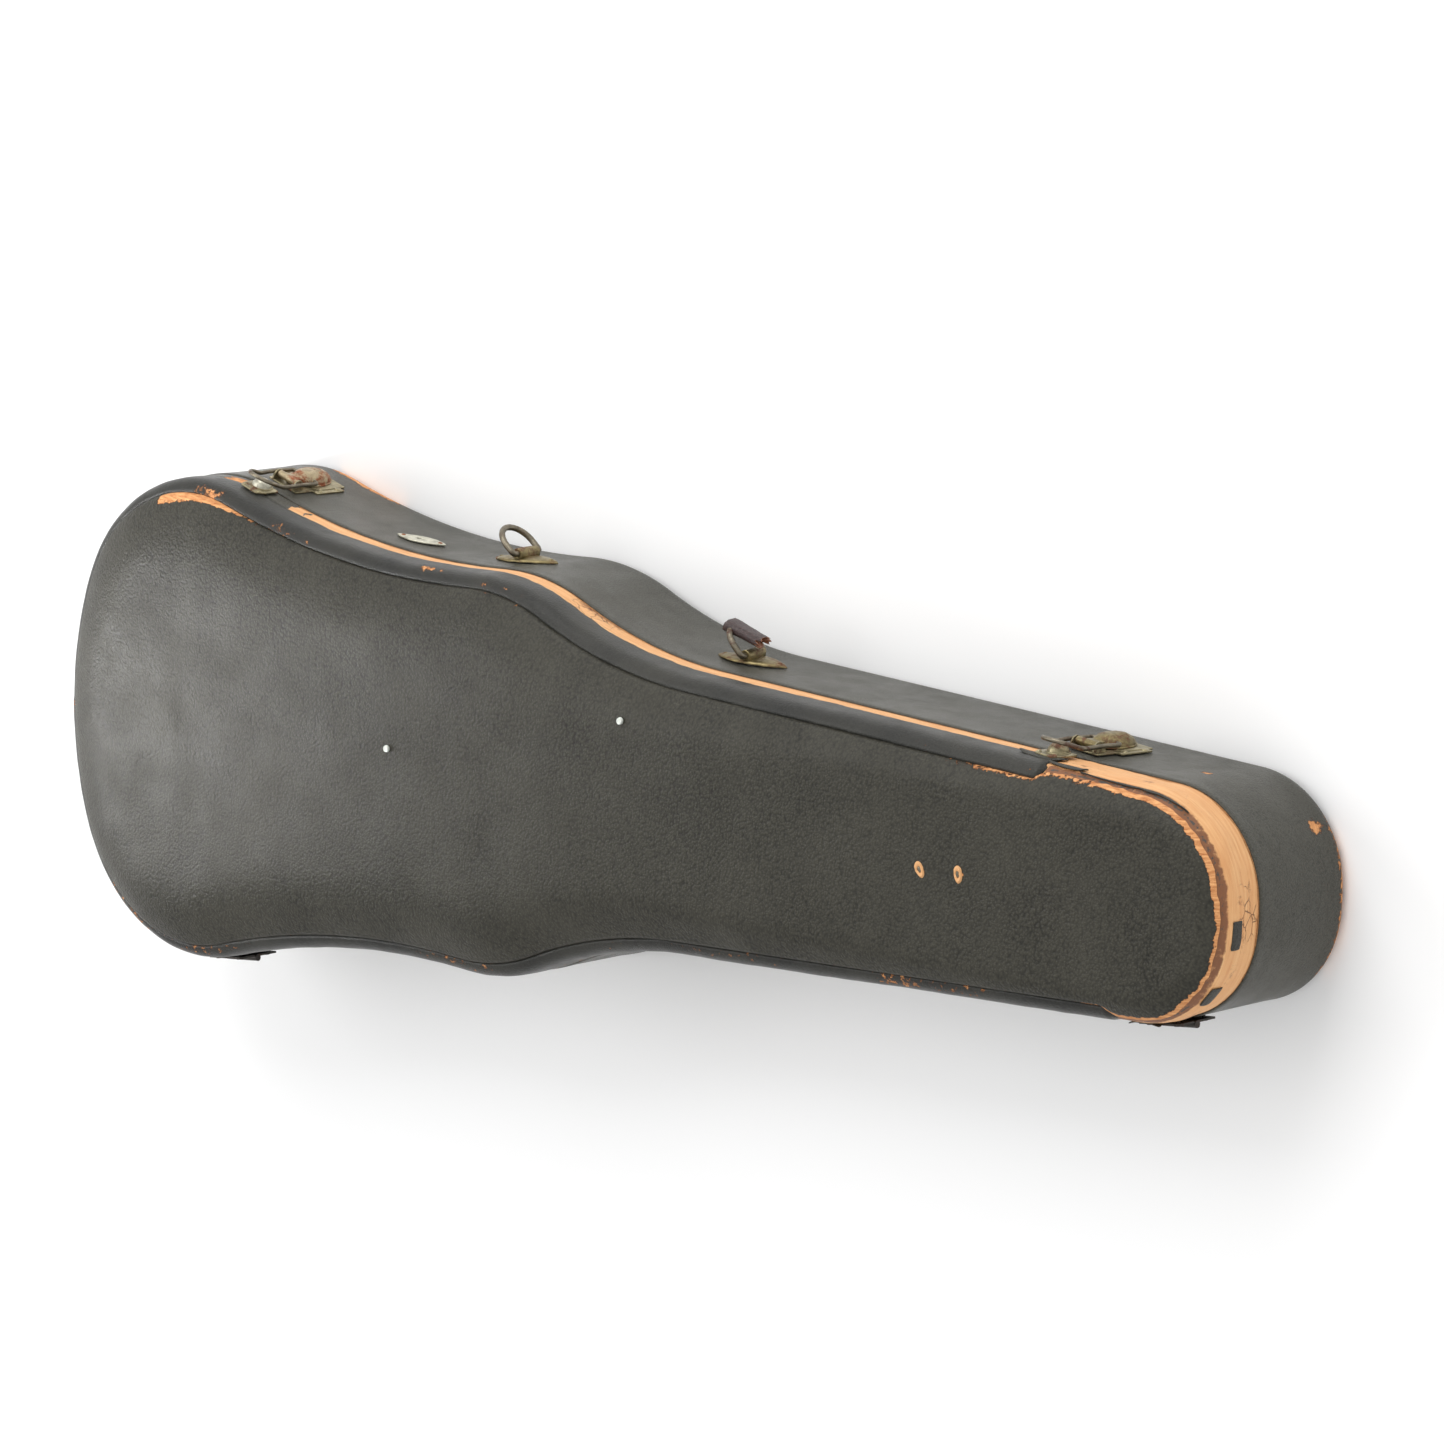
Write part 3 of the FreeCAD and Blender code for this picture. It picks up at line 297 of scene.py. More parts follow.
SPINE_ENDS = (-HALF + 190.0, HALF - 62.0)
SPINE_DEPTH = 60.0
SPREAD_REACH = 8


def sheet_over(name, insets, height, material, body, inner=14, fields=None, level_up=True, spread=0.0, **options):
    """Sheet over the whole outline: rings inwards to the deepest inset, then on to a line along the middle.

    spread carries the sheet's edge outwards by so much at each outline point, fading over the next rings.
    """
    depth = [inset - spread * max(0.0, 1 - (inset - insets[0]) / SPREAD_REACH) + np.zeros(len(PLACE))
             for inset in insets]
    rings = [PLACE - NORMAL * reach for reach in depth]
    last = rings[-1]
    spine = np.clip(last.real, *SPINE_ENDS).astype(complex)
    for step in range(1, inner + 1):
        share = step / inner
        rings.append(last + (spine - last) * share)
        depth.append(np.full(len(PLACE), insets[-1] + SPINE_DEPTH * share))
    spot = np.stack(rings, axis=1)
    inset = np.stack(depth, axis=1)
    level = height(spot.real, spot.imag, inset, np.tile(LENGTH[:, None], (1, len(rings))))
    vertices = np.stack([spot.real, spot.imag, level], axis=-1).reshape(-1, 3)
    values = fields(spot.real, spot.imag, inset) if fields else None
    piece = make(name, vertices, grid_faces(*level.shape), material, body, fields=values, uv=vertices[:, :2], **options)
    with editing(piece.data) as work:
        bmesh.ops.remove_doubles(work, verts=work.verts, dist=0.02 * MM)
        bmesh.ops.dissolve_degenerate(work, dist=0.01 * MM, edges=work.edges)
        bmesh.ops.recalc_face_normals(work, faces=work.faces)
        up = sum(face.normal.z * face.calc_area() for face in work.faces) > 0
        if up != level_up:
            bmesh.ops.reverse_faces(work, faces=work.faces)
    return piece


# Materials
def srgb(red, green, blue):
    """Linear colour from screen values of 0 to 255."""
    def channel(value):
        value /= 255
        return value / 12.92 if value <= 0.04045 else ((value + 0.055) / 1.055) ** 2.4
    return (channel(red), channel(green), channel(blue), 1.0)


def dimmed(colour, share):
    return tuple(share * c for c in colour[:3]) + (1,)


class Look:
    """One procedural material. Sizes are in millimetres on the object."""

    def __init__(self, name, roughness=0.5, metallic=0.0, **sockets):
        self.material = bpy.data.materials.new(name)
        self.material.use_nodes = True
        self.tree = self.material.node_tree
        self.tree.nodes.clear()
        output = self.node("OutputMaterial")
        self.shader = self.node("BsdfPrincipled")
        self.tree.links.new(self.shader.outputs[0], output.inputs[0])
        self.set("Roughness", roughness)
        self.set("Metallic", metallic)
        for socket, value in sockets.items():
            self.set(socket.replace("_", " "), value)
        place = self.node("TexCoord")
        self.place, self.run = (self.stretch(place.outputs[kind], [1 / MM] * 3) for kind in ("Object", "UV"))

    def node(self, kind):
        return self.tree.nodes.new("ShaderNode" + kind)

    def put(self, socket, value):
        if isinstance(value, bpy.types.NodeSocket):
            self.tree.links.new(value, socket)
        elif value is not None:
            socket.default_value = value

    def set(self, name, value):
        self.put(self.shader.inputs[name], value)

    def feed(self, node, **inputs):
        for name, value in inputs.items():
            self.put(node.inputs[name], value)

    def stretch(self, vector, scale):
        mapping = self.node("Mapping")
        self.feed(mapping, Vector=vector, Scale=scale)
        return mapping.outputs[0]

    def noise(self, size, detail=3.0, rough=0.55, distort=0.0, where=None, scale=(1, 1, 1)):
        node = self.node("TexNoise")
        self.feed(node, Vector=self.stretch(where or self.place, scale), Scale=1 / size, Detail=detail,
                  Roughness=rough, Distortion=distort)
        return node.outputs["Fac"]

    def cells(self, size, feature="SMOOTH_F1", where=None, scale=(1, 1, 1), warp=None):
        node = self.node("TexVoronoi")
        node.feature = feature
        vector = self.stretch(where or self.place, scale)
        if warp is not None:
            shift, spread = self.node("VectorMath"), self.node("CombineXYZ")
            shift.operation = "ADD"
            self.feed(spread, X=warp, Y=warp, Z=warp)
            self.put(shift.inputs[0], vector)
            self.put(shift.inputs[1], spread.outputs[0])
            vector = shift.outputs[0]
        self.feed(node, Vector=vector, Scale=1 / size)
        return node.outputs["Distance"]

    def field(self, name):
        node = self.node("Attribute")
        node.attribute_name = name
        return node.outputs["Fac"]

    def calc(self, operation, *values, clamp=False):
        node = self.node("Math")
        node.operation = operation
        node.use_clamp = clamp
        for socket, value in zip(node.inputs, values):
            self.put(socket, value)
        return node.outputs[0]

    def add(self, first, second, share=None, clamp=False):
        """Sum, or the first and a share of the second."""
        second = second if share is None else self.calc("MULTIPLY", second, share)
        return self.calc("ADD", first, second, clamp=clamp)

    def fit(self, value, low, high, to_low=0.0, to_high=1.0):
        node = self.node("MapRange")
        for socket, number in zip(node.inputs, (value, low, high, to_low, to_high)):
            self.put(socket, number)
        return node.outputs[0]

    def mix(self, share, first, second):
        node = self.node("Mix")
        node.data_type = "RGBA"
        for name, value in (("Factor", share), ("A", first), ("B", second)):
            socket = [s for s in node.inputs if s.name == name and s.type in ("RGBA", "VALUE") and s.enabled][0]
            self.put(socket, value)
        return [s for s in node.outputs if s.enabled][0]

    def tint(self, colour, pattern, low, high, other, share=1.0):
        """Other colour, up to a share, where the pattern passes from low to high."""
        return self.mix(self.fit(pattern, low, high, 0.0, share), colour, other)

    def eroded(self, name, size, reach, detail=5):
        """A field with its level blurred by noise, so that a threshold gives it a ragged edge."""
        return self.add(self.field(name), self.fit(self.noise(size, detail, 0.7), 0.3, 0.7, -reach, reach))

    def done(self, colour, height, depth, shown):
        """Finish with a colour, a relief of a depth in millimetres and the plain viewport colour."""
        node = self.node("Bump")
        self.feed(node, Strength=1.0, Distance=depth * MM, Height=height)
        self.set("Base Color", colour)
        self.set("Normal", node.outputs[0])
        self.material.diffuse_color = shown
        return self.material


def worn(look, colour, height):
    """Torn patches where the wear field passes a fine noise: returns mask, colour and the height below."""
    torn = look.eroded("wear", 3.4, 0.34)
    mask = look.fit(torn, 0.5, 0.56)
    fibre = look.noise(1.6, 4, 0.6, where=look.run, scale=(0.25, 1.6, 1))
    bare = look.tint(srgb(164, 98, 54), fibre, 0.3, 0.7, srgb(230, 172, 116))
    bare = look.tint(srgb(98, 52, 28), torn, 0.5, 0.66, bare)
    dark = look.tint(colour, torn, 0.41, 0.5, look.mix(0.45, colour, srgb(58, 44, 36)))
    return mask, look.mix(mask, dark, bare), look.calc("SUBTRACT", height, look.calc("MULTIPLY", mask, 2.2))


def leatherette(name, grain, dark, light, roughness, depth, streaks=0.0, crease=0.0, wear=True):
    """Cloth-backed embossed covering, dusty on the tops of the grain."""
    look = Look(name, IOR=1.46, Specular_IOR_Level=0.27)
    warp = look.fit(look.noise(4.0, 2), 0, 1, -0.8, 0.8)
    pebble = look.cells(grain, warp=warp)
    height = look.add(look.fit(pebble, 0.05, 0.75, 1, 0), look.noise(grain * 0.45, 3, 0.6), 0.7)
    if streaks:
        height = look.add(height, look.noise(2.6, 3, 0.6, scale=(1.0, 0.22, 1.0)), streaks)
    if crease:
        height = look.add(height, look.noise(9.0, 3, 0.62, 0.6, scale=(0.35, 0.6, 1.6)), crease)
    colour = look.tint(dark, height, 0.5, 1.6, light)
    dust, stain = look.noise(55, 4, 0.6, 0.4), look.noise(17, 4, 0.65, 0.8)
    scuff = look.noise(1.1, 2, 0.5, scale=(0.12, 1.0, 1.0))
    colour = look.tint(colour, dust, 0.35, 0.72, srgb(76, 74, 65), 0.3)
    colour = look.tint(colour, stain, 0.56, 0.8, srgb(34, 33, 28), 0.2)
    colour = look.tint(colour, scuff, 0.66, 0.78, srgb(112, 110, 100), 0.14)
    gloss = look.fit(look.noise(23, 4, 0.6), 0.3, 0.7, roughness - 0.07, roughness + 0.09)
    if wear:
        mask, colour, height = worn(look, colour, height)
        gloss = look.add(gloss, mask, 0.3, clamp=True)
    look.set("Roughness", gloss)
    return look.done(colour, height, depth, light)


LID_HIDE = leatherette("pebbled_leatherette", 1.3, srgb(23, 22, 17), srgb(60, 58, 49), 0.40, 0.24, streaks=0.5)
BASE_HIDE = leatherette("smooth_leatherette", 0.85, srgb(42, 41, 36), srgb(76, 75, 68), 0.36, 0.2, crease=0.9)
ROLL_HIDE = leatherette("rolled_edge", 0.8, srgb(26, 26, 25), srgb(46, 46, 43), 0.36, 0.12, crease=0.6)
FLAP_HIDE = leatherette("torn_covering", 0.8, srgb(38, 37, 33), srgb(62, 61, 56), 0.5, 0.2, crease=0.8, wear=False)


def bare_wood(name, pale, deep, burnt):
    """Bare pasteboard and veneer edge: long fibres, fine cracks, glue stains."""
    look = Look(name, roughness=0.62)
    fibre = look.noise(1.5, 5, 0.62, where=look.run, scale=(0.06, 1.0, 1.0))
    bands = look.noise(26, 4, 0.6, where=look.run, scale=(0.6, 2.0, 1.0))
    colour = look.tint(deep, fibre, 0.3, 0.72, pale)
    colour = look.tint(colour, bands, 0.42, 0.78, srgb(212, 150, 92), 0.6)
    warp = look.fit(look.noise(5.0, 3), 0, 1, -1.5, 1.5)
    crack = look.cells(6.5, "DISTANCE_TO_EDGE", where=look.run, scale=(0.7, 1.3, 1.0), warp=warp)
    where = look.fit(look.add(look.field("crack"), look.noise(12, 3, where=look.run)), 0.8, 0.95)
    line = look.calc("MULTIPLY", look.fit(crack, 0.01, 0.03, 1, 0), where, clamp=True)
    colour = look.mix(look.calc("MULTIPLY", line, 0.75), colour, srgb(104, 60, 34))
    colour = look.tint(colour, look.eroded("brown", 3.0, 0.3), 0.35, 0.75, burnt, 0.9)
    colour = look.tint(colour, look.eroded("black", 2.2, 0.3, 4), 0.45, 0.55, srgb(66, 60, 54))
    height = look.calc("SUBTRACT", fibre, look.calc("MULTIPLY", line, 1.5))
    return look.done(colour, height, 0.35, pale)


BARE = bare_wood("bare_wood", srgb(226, 180, 126), srgb(200, 140, 88), srgb(104, 58, 30))
SCAR = bare_wood("torn_edge", srgb(206, 134, 78), srgb(150, 84, 46), srgb(92, 48, 28))


def old_metal(name, base, rust, roughness, metallic, share):
    """Plated metal with pits, dull film and rust in patches."""
    look = Look(name, roughness=roughness, metallic=metallic)
    film = look.noise(4.5, 5, 0.65, 0.6)
    pits = look.noise(0.7, 3, 0.6)
    rusty = look.fit(look.noise(7.5, 5, 0.68, 0.4), 0.60 - share, 0.72 - share)
    colour = look.tint(base, film, 0.35, 0.7, dimmed(base, 0.55))
    colour = look.tint(colour, pits, 0.52, 0.7, dimmed(base, 0.4), 0.5)
    brown = look.tint(rust, look.noise(1.4, 4, 0.6), 0.3, 0.7, dimmed(rust, 0.45))
    look.set("Metallic", look.fit(rusty, 0, 1, metallic, 0.1))
    gloss = look.fit(film, 0.3, 0.7, roughness - 0.08, roughness + 0.1)
    look.set("Roughness", look.add(gloss, rusty, 0.35, clamp=True))
    return look.done(look.mix(rusty, colour, brown), look.add(pits, rusty, 0.6), 0.09, base)


PLATE_METAL = old_metal("aged_nickel", srgb(164, 154, 122), srgb(112, 68, 40), 0.38, 0.85, 0.06)
RUSTY_METAL = old_metal("rusted_nickel", srgb(180, 164, 132), srgb(150, 80, 40), 0.40, 0.8, 0.17)
PALE_METAL = old_metal("pale_nickel", srgb(214, 211, 192), srgb(128, 112, 84), 0.42, 0.7, -0.08)
BRASSY = old_metal("olive_brass", srgb(146, 132, 94), srgb(110, 66, 38), 0.38, 0.88, 0.08)
WIRE = old_metal("grey_steel", srgb(130, 122, 106), srgb(86, 58, 44), 0.36, 0.9, 0.06)
BRASS = old_metal("brass", srgb(190, 152, 86), srgb(90, 66, 36), 0.36, 0.92, 0.0)
BLACKENED = old_metal("blackened_steel", srgb(62, 58, 54), srgb(70, 46, 34), 0.45, 0.6, 0.05)
STEEL = old_metal("lock_steel", srgb(150, 148, 142), srgb(100, 62, 40), 0.42, 0.85, 0.02)


def plush(name, deep, pale):
    """Short-pile lining cloth, rubbed pale in patches."""
    look = Look(name, roughness=0.95, Sheen_Weight=0.55, Sheen_Roughness=0.4)
    pile, nap, rubbed = look.noise(0.5, 2, 0.6), look.noise(16, 5, 0.65, 0.7), look.noise(70, 3, 0.6)
    streaked = look.add(look.calc("MULTIPLY", nap, 0.7), pile, 0.4)
    colour = look.tint(look.tint(deep, streaked, 0.35, 0.8, pale), rubbed, 0.55, 0.8, srgb(132, 104, 86), 0.35)
    return look.done(colour, look.add(pile, nap), 0.3, deep)


PLUSH = plush("plush", srgb(74, 28, 30), srgb(118, 50, 48))


def hide(name, dark, light, torn):
    """Dried vegetable-tanned leather, cracked across, orange where torn."""
    look = Look(name, roughness=0.46)
    crack = look.cells(2.6, "DISTANCE_TO_EDGE", scale=(1, 1, 0.4))
    grain = look.noise(1.2, 4, 0.6)
    colour = look.tint(dark, grain, 0.3, 0.7, light)
    colour = look.tint(colour, look.eroded("raw", 2.2, 0.35), 0.5, 0.6, torn)
    return look.done(colour, look.add(look.fit(crack, 0, 0.08, 0, 0.5), grain), 0.25, dark)


STRAP = hide("leather", srgb(40, 30, 30), srgb(74, 56, 54), srgb(134, 84, 56))


def stained_wood(name, dark, light, gloss):
    look = Look(name, roughness=gloss)
    grain = look.noise(1.8, 5, 0.62, 0.3, scale=(0.08, 1.0, 1.0))
    return look.done(look.tint(dark, grain, 0.3, 0.7, light), grain, 0.15, dark)


BLACK_WOOD = stained_wood("turned_wood", srgb(34, 28, 25), srgb(60, 48, 40), 0.32)
CASE_WOOD = stained_wood("wood", srgb(168, 118, 76), srgb(206, 160, 112), 0.6)


# Base: covering, its worn edges, the bottom sheet and the lining
def blob(x, y, centre, reach):
    """1 at a spot, falling to 0 at its reach."""
    return np.clip(1 - np.hypot(x - centre[0], y - centre[1]) / reach, 0, 1)


def base_shift(inset, level, u, x, y):
    """Slight waves and dents of the covering."""
    face = smooth(level, 6, 16) * (1 - smooth(level, 58, 65))
    wave = 0.30 * value_noise(u, level, 46, 11) + 0.14 * value_noise(u, level, 17, 12)
    return inset + face * (wave + 0.25), level


def base_wear(x, y, z, u):
    wear = 0.04 + 0.07 * value_noise(u, z, 30, 21)
    foot = bell(z, 3.2, 4.2)
    long_tear = smooth(x, -292, -276) * (1 - smooth(x, -240, -226)) * (y > 0)
    wear += foot * 0.12 + 0.8 * long_tear * (1 - smooth(z, 6.5, 11))
    nose = smooth(x, 372, 386)
    wear += foot * nose * 0.52 + nose * bell(z, 15, 5) * blob(x, y, (385, 34), 7) * 1.0
    wear += bell(z, 39, 2.4) * blob(x, y, (340, 55.7), 6) * 0.85
    top = bell(z, 66, 1.6)
    wear += top * 0.12 * (1 + value_noise(u, z, 9, 23))
    return {"wear": wear}


foot_arc = [(6 - 6 * math.sin(a), 7 - 6 * math.cos(a)) for a in np.linspace(0, math.pi / 2, 7)]
base_profile = ([(14.0, 2.0), (13.6, 1.15), (11.0, 1.0)] + foot_arc
                + [(0.0, z) for z in np.linspace(10, 62, 22)]
                + [(0.05, 64.2), (0.22, 65.2), (0.6, 65.75), (1.3, 65.9), (1.3, 63.0)])
band("base_skin", base_profile, BASE_HIDE, "base", base_shift, base_wear, replaces=("base_cover",),
     slot="smooth_leatherette")


def bottom_height(x, y, inset, u):
    return 0.25 + 0.15 * value_noise(x, y, 34, 3)


BOTTOM = leatherette("bottom_cloth", 1.1, srgb(46, 46, 42), srgb(72, 72, 66), 0.62, 0.15, wear=False)
sheet_over("bottom_sheet", [7.2, 8.0, 10, 14, 20, 40], bottom_height, BOTTOM, "base", inner=12, level_up=False,
           replaces=("bottom_cover",), slot="smooth_leatherette")

for name in ("base_wall", "base_floor"):
    NODES[name].data.materials.clear()
    NODES[name].data.materials.append(CASE_WOOD)


# lining of the base: upright sides, rounded corners and a gently padded floor
corner = [(LINING_IN + 4 - 4 * math.cos(a), FLOOR_TOP + 2.2 + 4 - 4 * math.sin(a))
          for a in np.linspace(0, math.pi / 2, 6)]
tray_profile = np.asarray([(6.35, 62.6), (6.4, 63.6), (7.0, 64.2), (7.9, 63.9), (8.25, 63.0)]
                          + [(LINING_IN, z) for z in np.linspace(60, 16, 12)] + corner
                          + [(16, FLOOR_TOP + 2.2), (30, FLOOR_TOP + 2.2)])


def tray_height(x, y, inset, u):
    column = np.arange(inset.shape[1])
    wall = np.interp(column, np.arange(len(tray_profile)), tray_profile[:, 1], right=np.nan)
    deep = FLOOR_TOP + 2.3 + 0.5 * value_noise(x, y, 24, 31)
    sides = wall + 0.25 * value_noise(u, inset * 3, 12, 32)
    return np.where(np.isnan(wall)[None, :] | (column >= len(tray_profile) - 1)[None, :], deep, sides)


sheet_over("base_plush", list(tray_profile[:, 0]), tray_height, PLUSH, "base", inner=16, replaces=("base_lining",),
           slot="plush")


def lid_under(x, y, inset):
    return arch_level(inset - LINING_IN, x, LINING_IN) - 0.3


lid_profile = [(6.4, 69.4), (6.5, 68.4), (7.2, 67.9), (8.0, 68.3), (8.3, 69.2)] + [
    (8.25, z) for z in np.linspace(72, 88, 6)] + [(8.5, 90.6), (9.4, 92.2), (11.5, 93.6), (15, 95.3), (20, 97.0),
                                                  (28, 99.5), (38, 101.6), (46, 102.4)]
lid_profile = [(i, min(z, float(lid_under(-200.0, 0, i))) if i > 9 else z) for i, z in lid_profile]


# Lid: wooden edge, roll, strip cover, arched skin and lining
NOSE_START = length_at(286.0, 1)
NOSE_END = length_at(332.0, -1)
STRIP_START = length_at(-226.0, 1)


def bare_at(u):
    """1 where the roll is lost, round the nose."""
    return smooth(u, NOSE_START - 4, NOSE_START + 4) * (1 - smooth(u, NOSE_END - 4, NOSE_END + 4))


def edge_wear(x, y, z, u):
    nose = bare_at(u)
    high = smooth(z, 87.0, 89.6)
    brown = 0.05 + 0.12 * value_noise(u, z, 12, 41) + nose * high * 0.85
    brown += 0.45 * smooth(x, -52, -36) * (1 - smooth(x, -12, 2)) * (y > 0) * smooth(z, 73, 68)
    brown += nose * 0.22 * bell(z, 79, 4) * (1 + value_noise(u, z, 8, 42))
    black = 0.05 + nose * bell(z, 91.0, 0.9) * (0.48 + 0.3 * value_noise(u, z, 14, 43))
    crack = bell(z, 74, 9) * (0.75 * blob(x, y, (394, -2), 24) + 0.6 * blob(x, y, (389, 44), 18))
    crack += 0.5 * smooth(x, -48, -36) * (1 - smooth(x, -14, -4)) * (y > 0)
    return {"brown": brown, "black": black, "crack": crack}


def wood_shift(inset, level, u, x, y):
    nose = bare_at(u)
    rough = 0.22 * value_noise(u, level, 5, 44) + 0.2 * value_noise(u, level, 16, 45)
    out = inset < 5
    plump = -0.7 * nose * bell(level, 80, 6.5)
    sink = (1 - nose) * smooth(level, 88.5, 90.5) * 3.2 - nose * 1.7 * smooth(inset, 1.8, 4.2)
    pocket = (np.abs(inset - 4.2) < 1.35) & (level < 67) & (y > 0) & (x > BOLT_FROM) & (x < BOLT_TO)
    return inset + out * (rough * (0.35 + 0.8 * nose) + plump), level - sink + pocket * 4.6


BOLT_FROM, BOLT_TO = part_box("lock_bolt")[0][0] * 1000 - 2.4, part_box("lock_bolt")[1][0] * 1000 + 2.4
wood_profile = ([(6.2, 84.0), (6.2, 66.35), (5.6, 66.35), (5.5, 66.35), (2.9, 66.3), (2.8, 66.3), (1.9, 66.3),
                 (1.35, 66.5), (1.15, 67.0)]
                + [(1.1, z) for z in np.linspace(68.5, 86, 14)]
                + [(1.25, 87.6), (1.7, 89.0), (2.5, 90.3), (3.7, 91.6), (5.2, 93.0), (7.0, 94.2), (9.5, 95.6)])
band("lid_wood_edge", wood_profile, BARE, "lid", wood_shift, edge_wear, replaces=("lid_wall",), slot="wood")


def roll_shift(inset, level, u, x, y):
    """Swelling of the roll, which sinks into the wood where it is gone, with ragged ends."""
    swell = 0.35 * value_noise(u, level, 30, 52) + 0.16 * value_noise(u, level, 8, 53)
    lower = bell(level, 76.3, 1.0)
    inset, level = inset - swell * 0.8 + 0.35, level + lower * 0.8 * ragged(u, 7, 54)
    jag = 5 * ragged(u, 9, 51)
    gone = smooth(u, NOSE_START + jag - 2, NOSE_START + jag + 2)
    gone *= 1 - smooth(u, NOSE_END + jag - 2, NOSE_END + jag + 2)
    inset = inset * (1 - gone) + (np.maximum(inset, 2.6) + 1.0) * gone
    level = level * (1 - gone) + (np.clip(level, 80, 92.0) - 2.4) * gone
    return inset, level


def roll_wear(x, y, z, u):
    wear = 0.05 + 0.08 * value_noise(u, z, 22, 55)
    groove = smooth(z, 90.8, 93.4)
    for spot, reach, amount in (((-304, 114), 10, 0.55), ((-292, 119), 11, 0.65), ((-281, 122), 9, 0.6),
                                ((-272, 125), 8, 0.42), ((-260, 127), 6, 0.6), ((-232, 108), 22, 0.42),
                                ((-205, 98), 18, 0.34), ((-80, 101), 10, 0.45), ((-64, 99), 7, 0.5),
                                ((-54, 95), 7, 0.45), ((-16, 84), 9, 0.45)):
        wear += groove * blob(x, y, spot, reach) * amount
    low = bell(z, 91, 2.4)
    wear += low * smooth(x, -130, -126) * (1 - smooth(x, -114, -110)) * (y > 0) * 0.5
    wear += groove * (y < 0) * 0.30 * (0.6 + value_noise(u, z, 26, 56))
    wear += groove * smooth(x, 180, 250) * (y > 0) * 0.42 * (0.7 + value_noise(u, z, 14, 57))
    return {"wear": wear}


roll_profile = [(1.3, 77.4), (1.25, 76.3), (0.75, 75.9), (0.3, 76.3), (0.0, 77.3), (-0.15, 79), (-0.2, 81),
                (-0.15, 83.5), (-0.05, 86), (0.15, 88), (0.5, 89.7), (1.1, 91.2), (2.0, 92.6), (3.2, 93.8), (4.5, 94.7),
                (5.8, 95.3), (6.9, 95.4), (7.7, 94.7)]


band("lid_roll", roll_profile, ROLL_HIDE, "lid", roll_shift, roll_wear, replaces=("lid_bead",), slot="rolled_edge")


def strip_shift(inset, level, u, x, y):
    """The strip's covering, only from behind the butt latch round the butt and along the hinge side."""
    jag = 3 * ragged(level * 3, 5, 61)
    past = u - jag - STRIP_START
    gone = smooth(past, -9, -7) * (1 - smooth(u - jag, NOSE_END + 24, NOSE_END + 27))
    island = smooth(past, -20, -18.5) * (1 - smooth(past, -10, -9))
    gone = np.clip(gone + island * smooth(level, 65, 66.6), 0, 1)
    wave = 0.15 * value_noise(u, level, 20, 62)
    return inset + wave + gone * 1.6, level


def strip_wear(x, y, z, u):
    wear = 0.14 + 0.12 * value_noise(u, z, 16, 63)
    wear += blob(x, y, (-283, 127.5), 13) * 1.1 * smooth(z, 69, 71.5)
    wear += blob(x, y, (-240, 116), 8) * 0.4
    wear += (y < 0) * smooth(x, -180, -60) * (0.28 + 0.25 * value_noise(u, z, 30, 64))
    return {"wear": wear}


cover_profile = [(1.5, 66.6), (0.75, 66.6), (0.55, 67.2), (0.5, 69), (0.5, 71.5), (0.5, 74), (0.6, 76.2), (1.4, 76.8)]
band("lid_strip_cover", cover_profile, BASE_HIDE, "lid", strip_shift, strip_wear, slot="smooth_leatherette")


# how far the skin's edge reaches past the groove: round the nose, with a ragged edge
SPREAD = bare_at(LENGTH) * (3.9 + 0.9 * ragged(LENGTH, 15, 70) + 0.35 * ragged(LENGTH, 4, 71))


def skin_height(x, y, inset, u):
    level = arch_level(inset, x)
    past = inset - 7.0 + SPREAD[:, None]
    lip = smooth(past, 0.0, 1.7)
    dents = 0.30 * value_noise(x, y, 60, 72) + 0.12 * value_noise(x, y, 23, 73)
    dents *= smooth(inset, 8, 30)
    arc = np.abs(np.hypot(x - 318.0, y - 6.0) - 50.0)
    imprint = -0.22 * bell(arc, 0, 1.2) * smooth(x, 345, 356)
    nose = (SPREAD > 0.5)[:, None]
    return level - np.where(nose, 0.9, 3.4) * (1 - lip) - 0.25 + dents + imprint


def skin_wear(x, y, inset):
    wear = 0.06 + 0.08 * value_noise(x, y, 30, 74)
    past = inset - 7.0 + SPREAD[:, None]
    edge = 1 - smooth(past, 0.4, 4.0)
    tip = 1 - smooth(past, 0.5, 2.2)
    for spot, reach, amount in (((-308, 108), 16, 0.9), ((-297, 113), 16, 1.1), ((-286, 117), 15, 1.1),
                                ((-274, 120), 11, 0.9), ((-262, 123), 8, 0.85), ((-246, 112), 10, 0.42),
                                ((-80, 98), 9, 0.45), ((-64, 95), 8, 0.42), ((-54, 92), 7, 0.4),
                                ((-16, 81), 9, 0.42)):
        wear += edge * blob(x, y, spot, reach) * amount
    width = 1.6 + 6.0 * (1 - smooth(x, -316, -252))
    wedge = (1 - smooth(past, 0.6 * width, width)) * smooth(x, -324, -316) * (1 - smooth(x, -262, -246)) * (y > 60)
    wear += wedge * 0.8
    wear += edge * smooth(x, 200, 262) * (y > 0) * 0.62
    wear += tip * smooth(x, 310, 335) * 0.8
    wear += edge * (y < 0) * 0.20 * (0.7 + value_noise(x, y, 24, 75))
    wear += blob(x, y, (376, -45), 12) * edge * 0.5
    for spot in NAIL_HOLES:
        wear += 0.9 * bell(np.hypot((x - spot[0]) * 1.2, y - spot[1]), 0, 3.0)
    return {"wear": wear}


skin_insets = [7.0, 7.5, 8.0, 8.7, 9.6, 10.5, 12, 14, 16.5, 19.5, 23, 27, 31, 35, 39, 43, 46.5]
sheet_over("lid_skin", skin_insets, skin_height, LID_HIDE, "lid", inner=34, fields=skin_wear, spread=SPREAD,
           replaces=("lid_cover", "lid_panel"), slot="pebbled_leatherette")


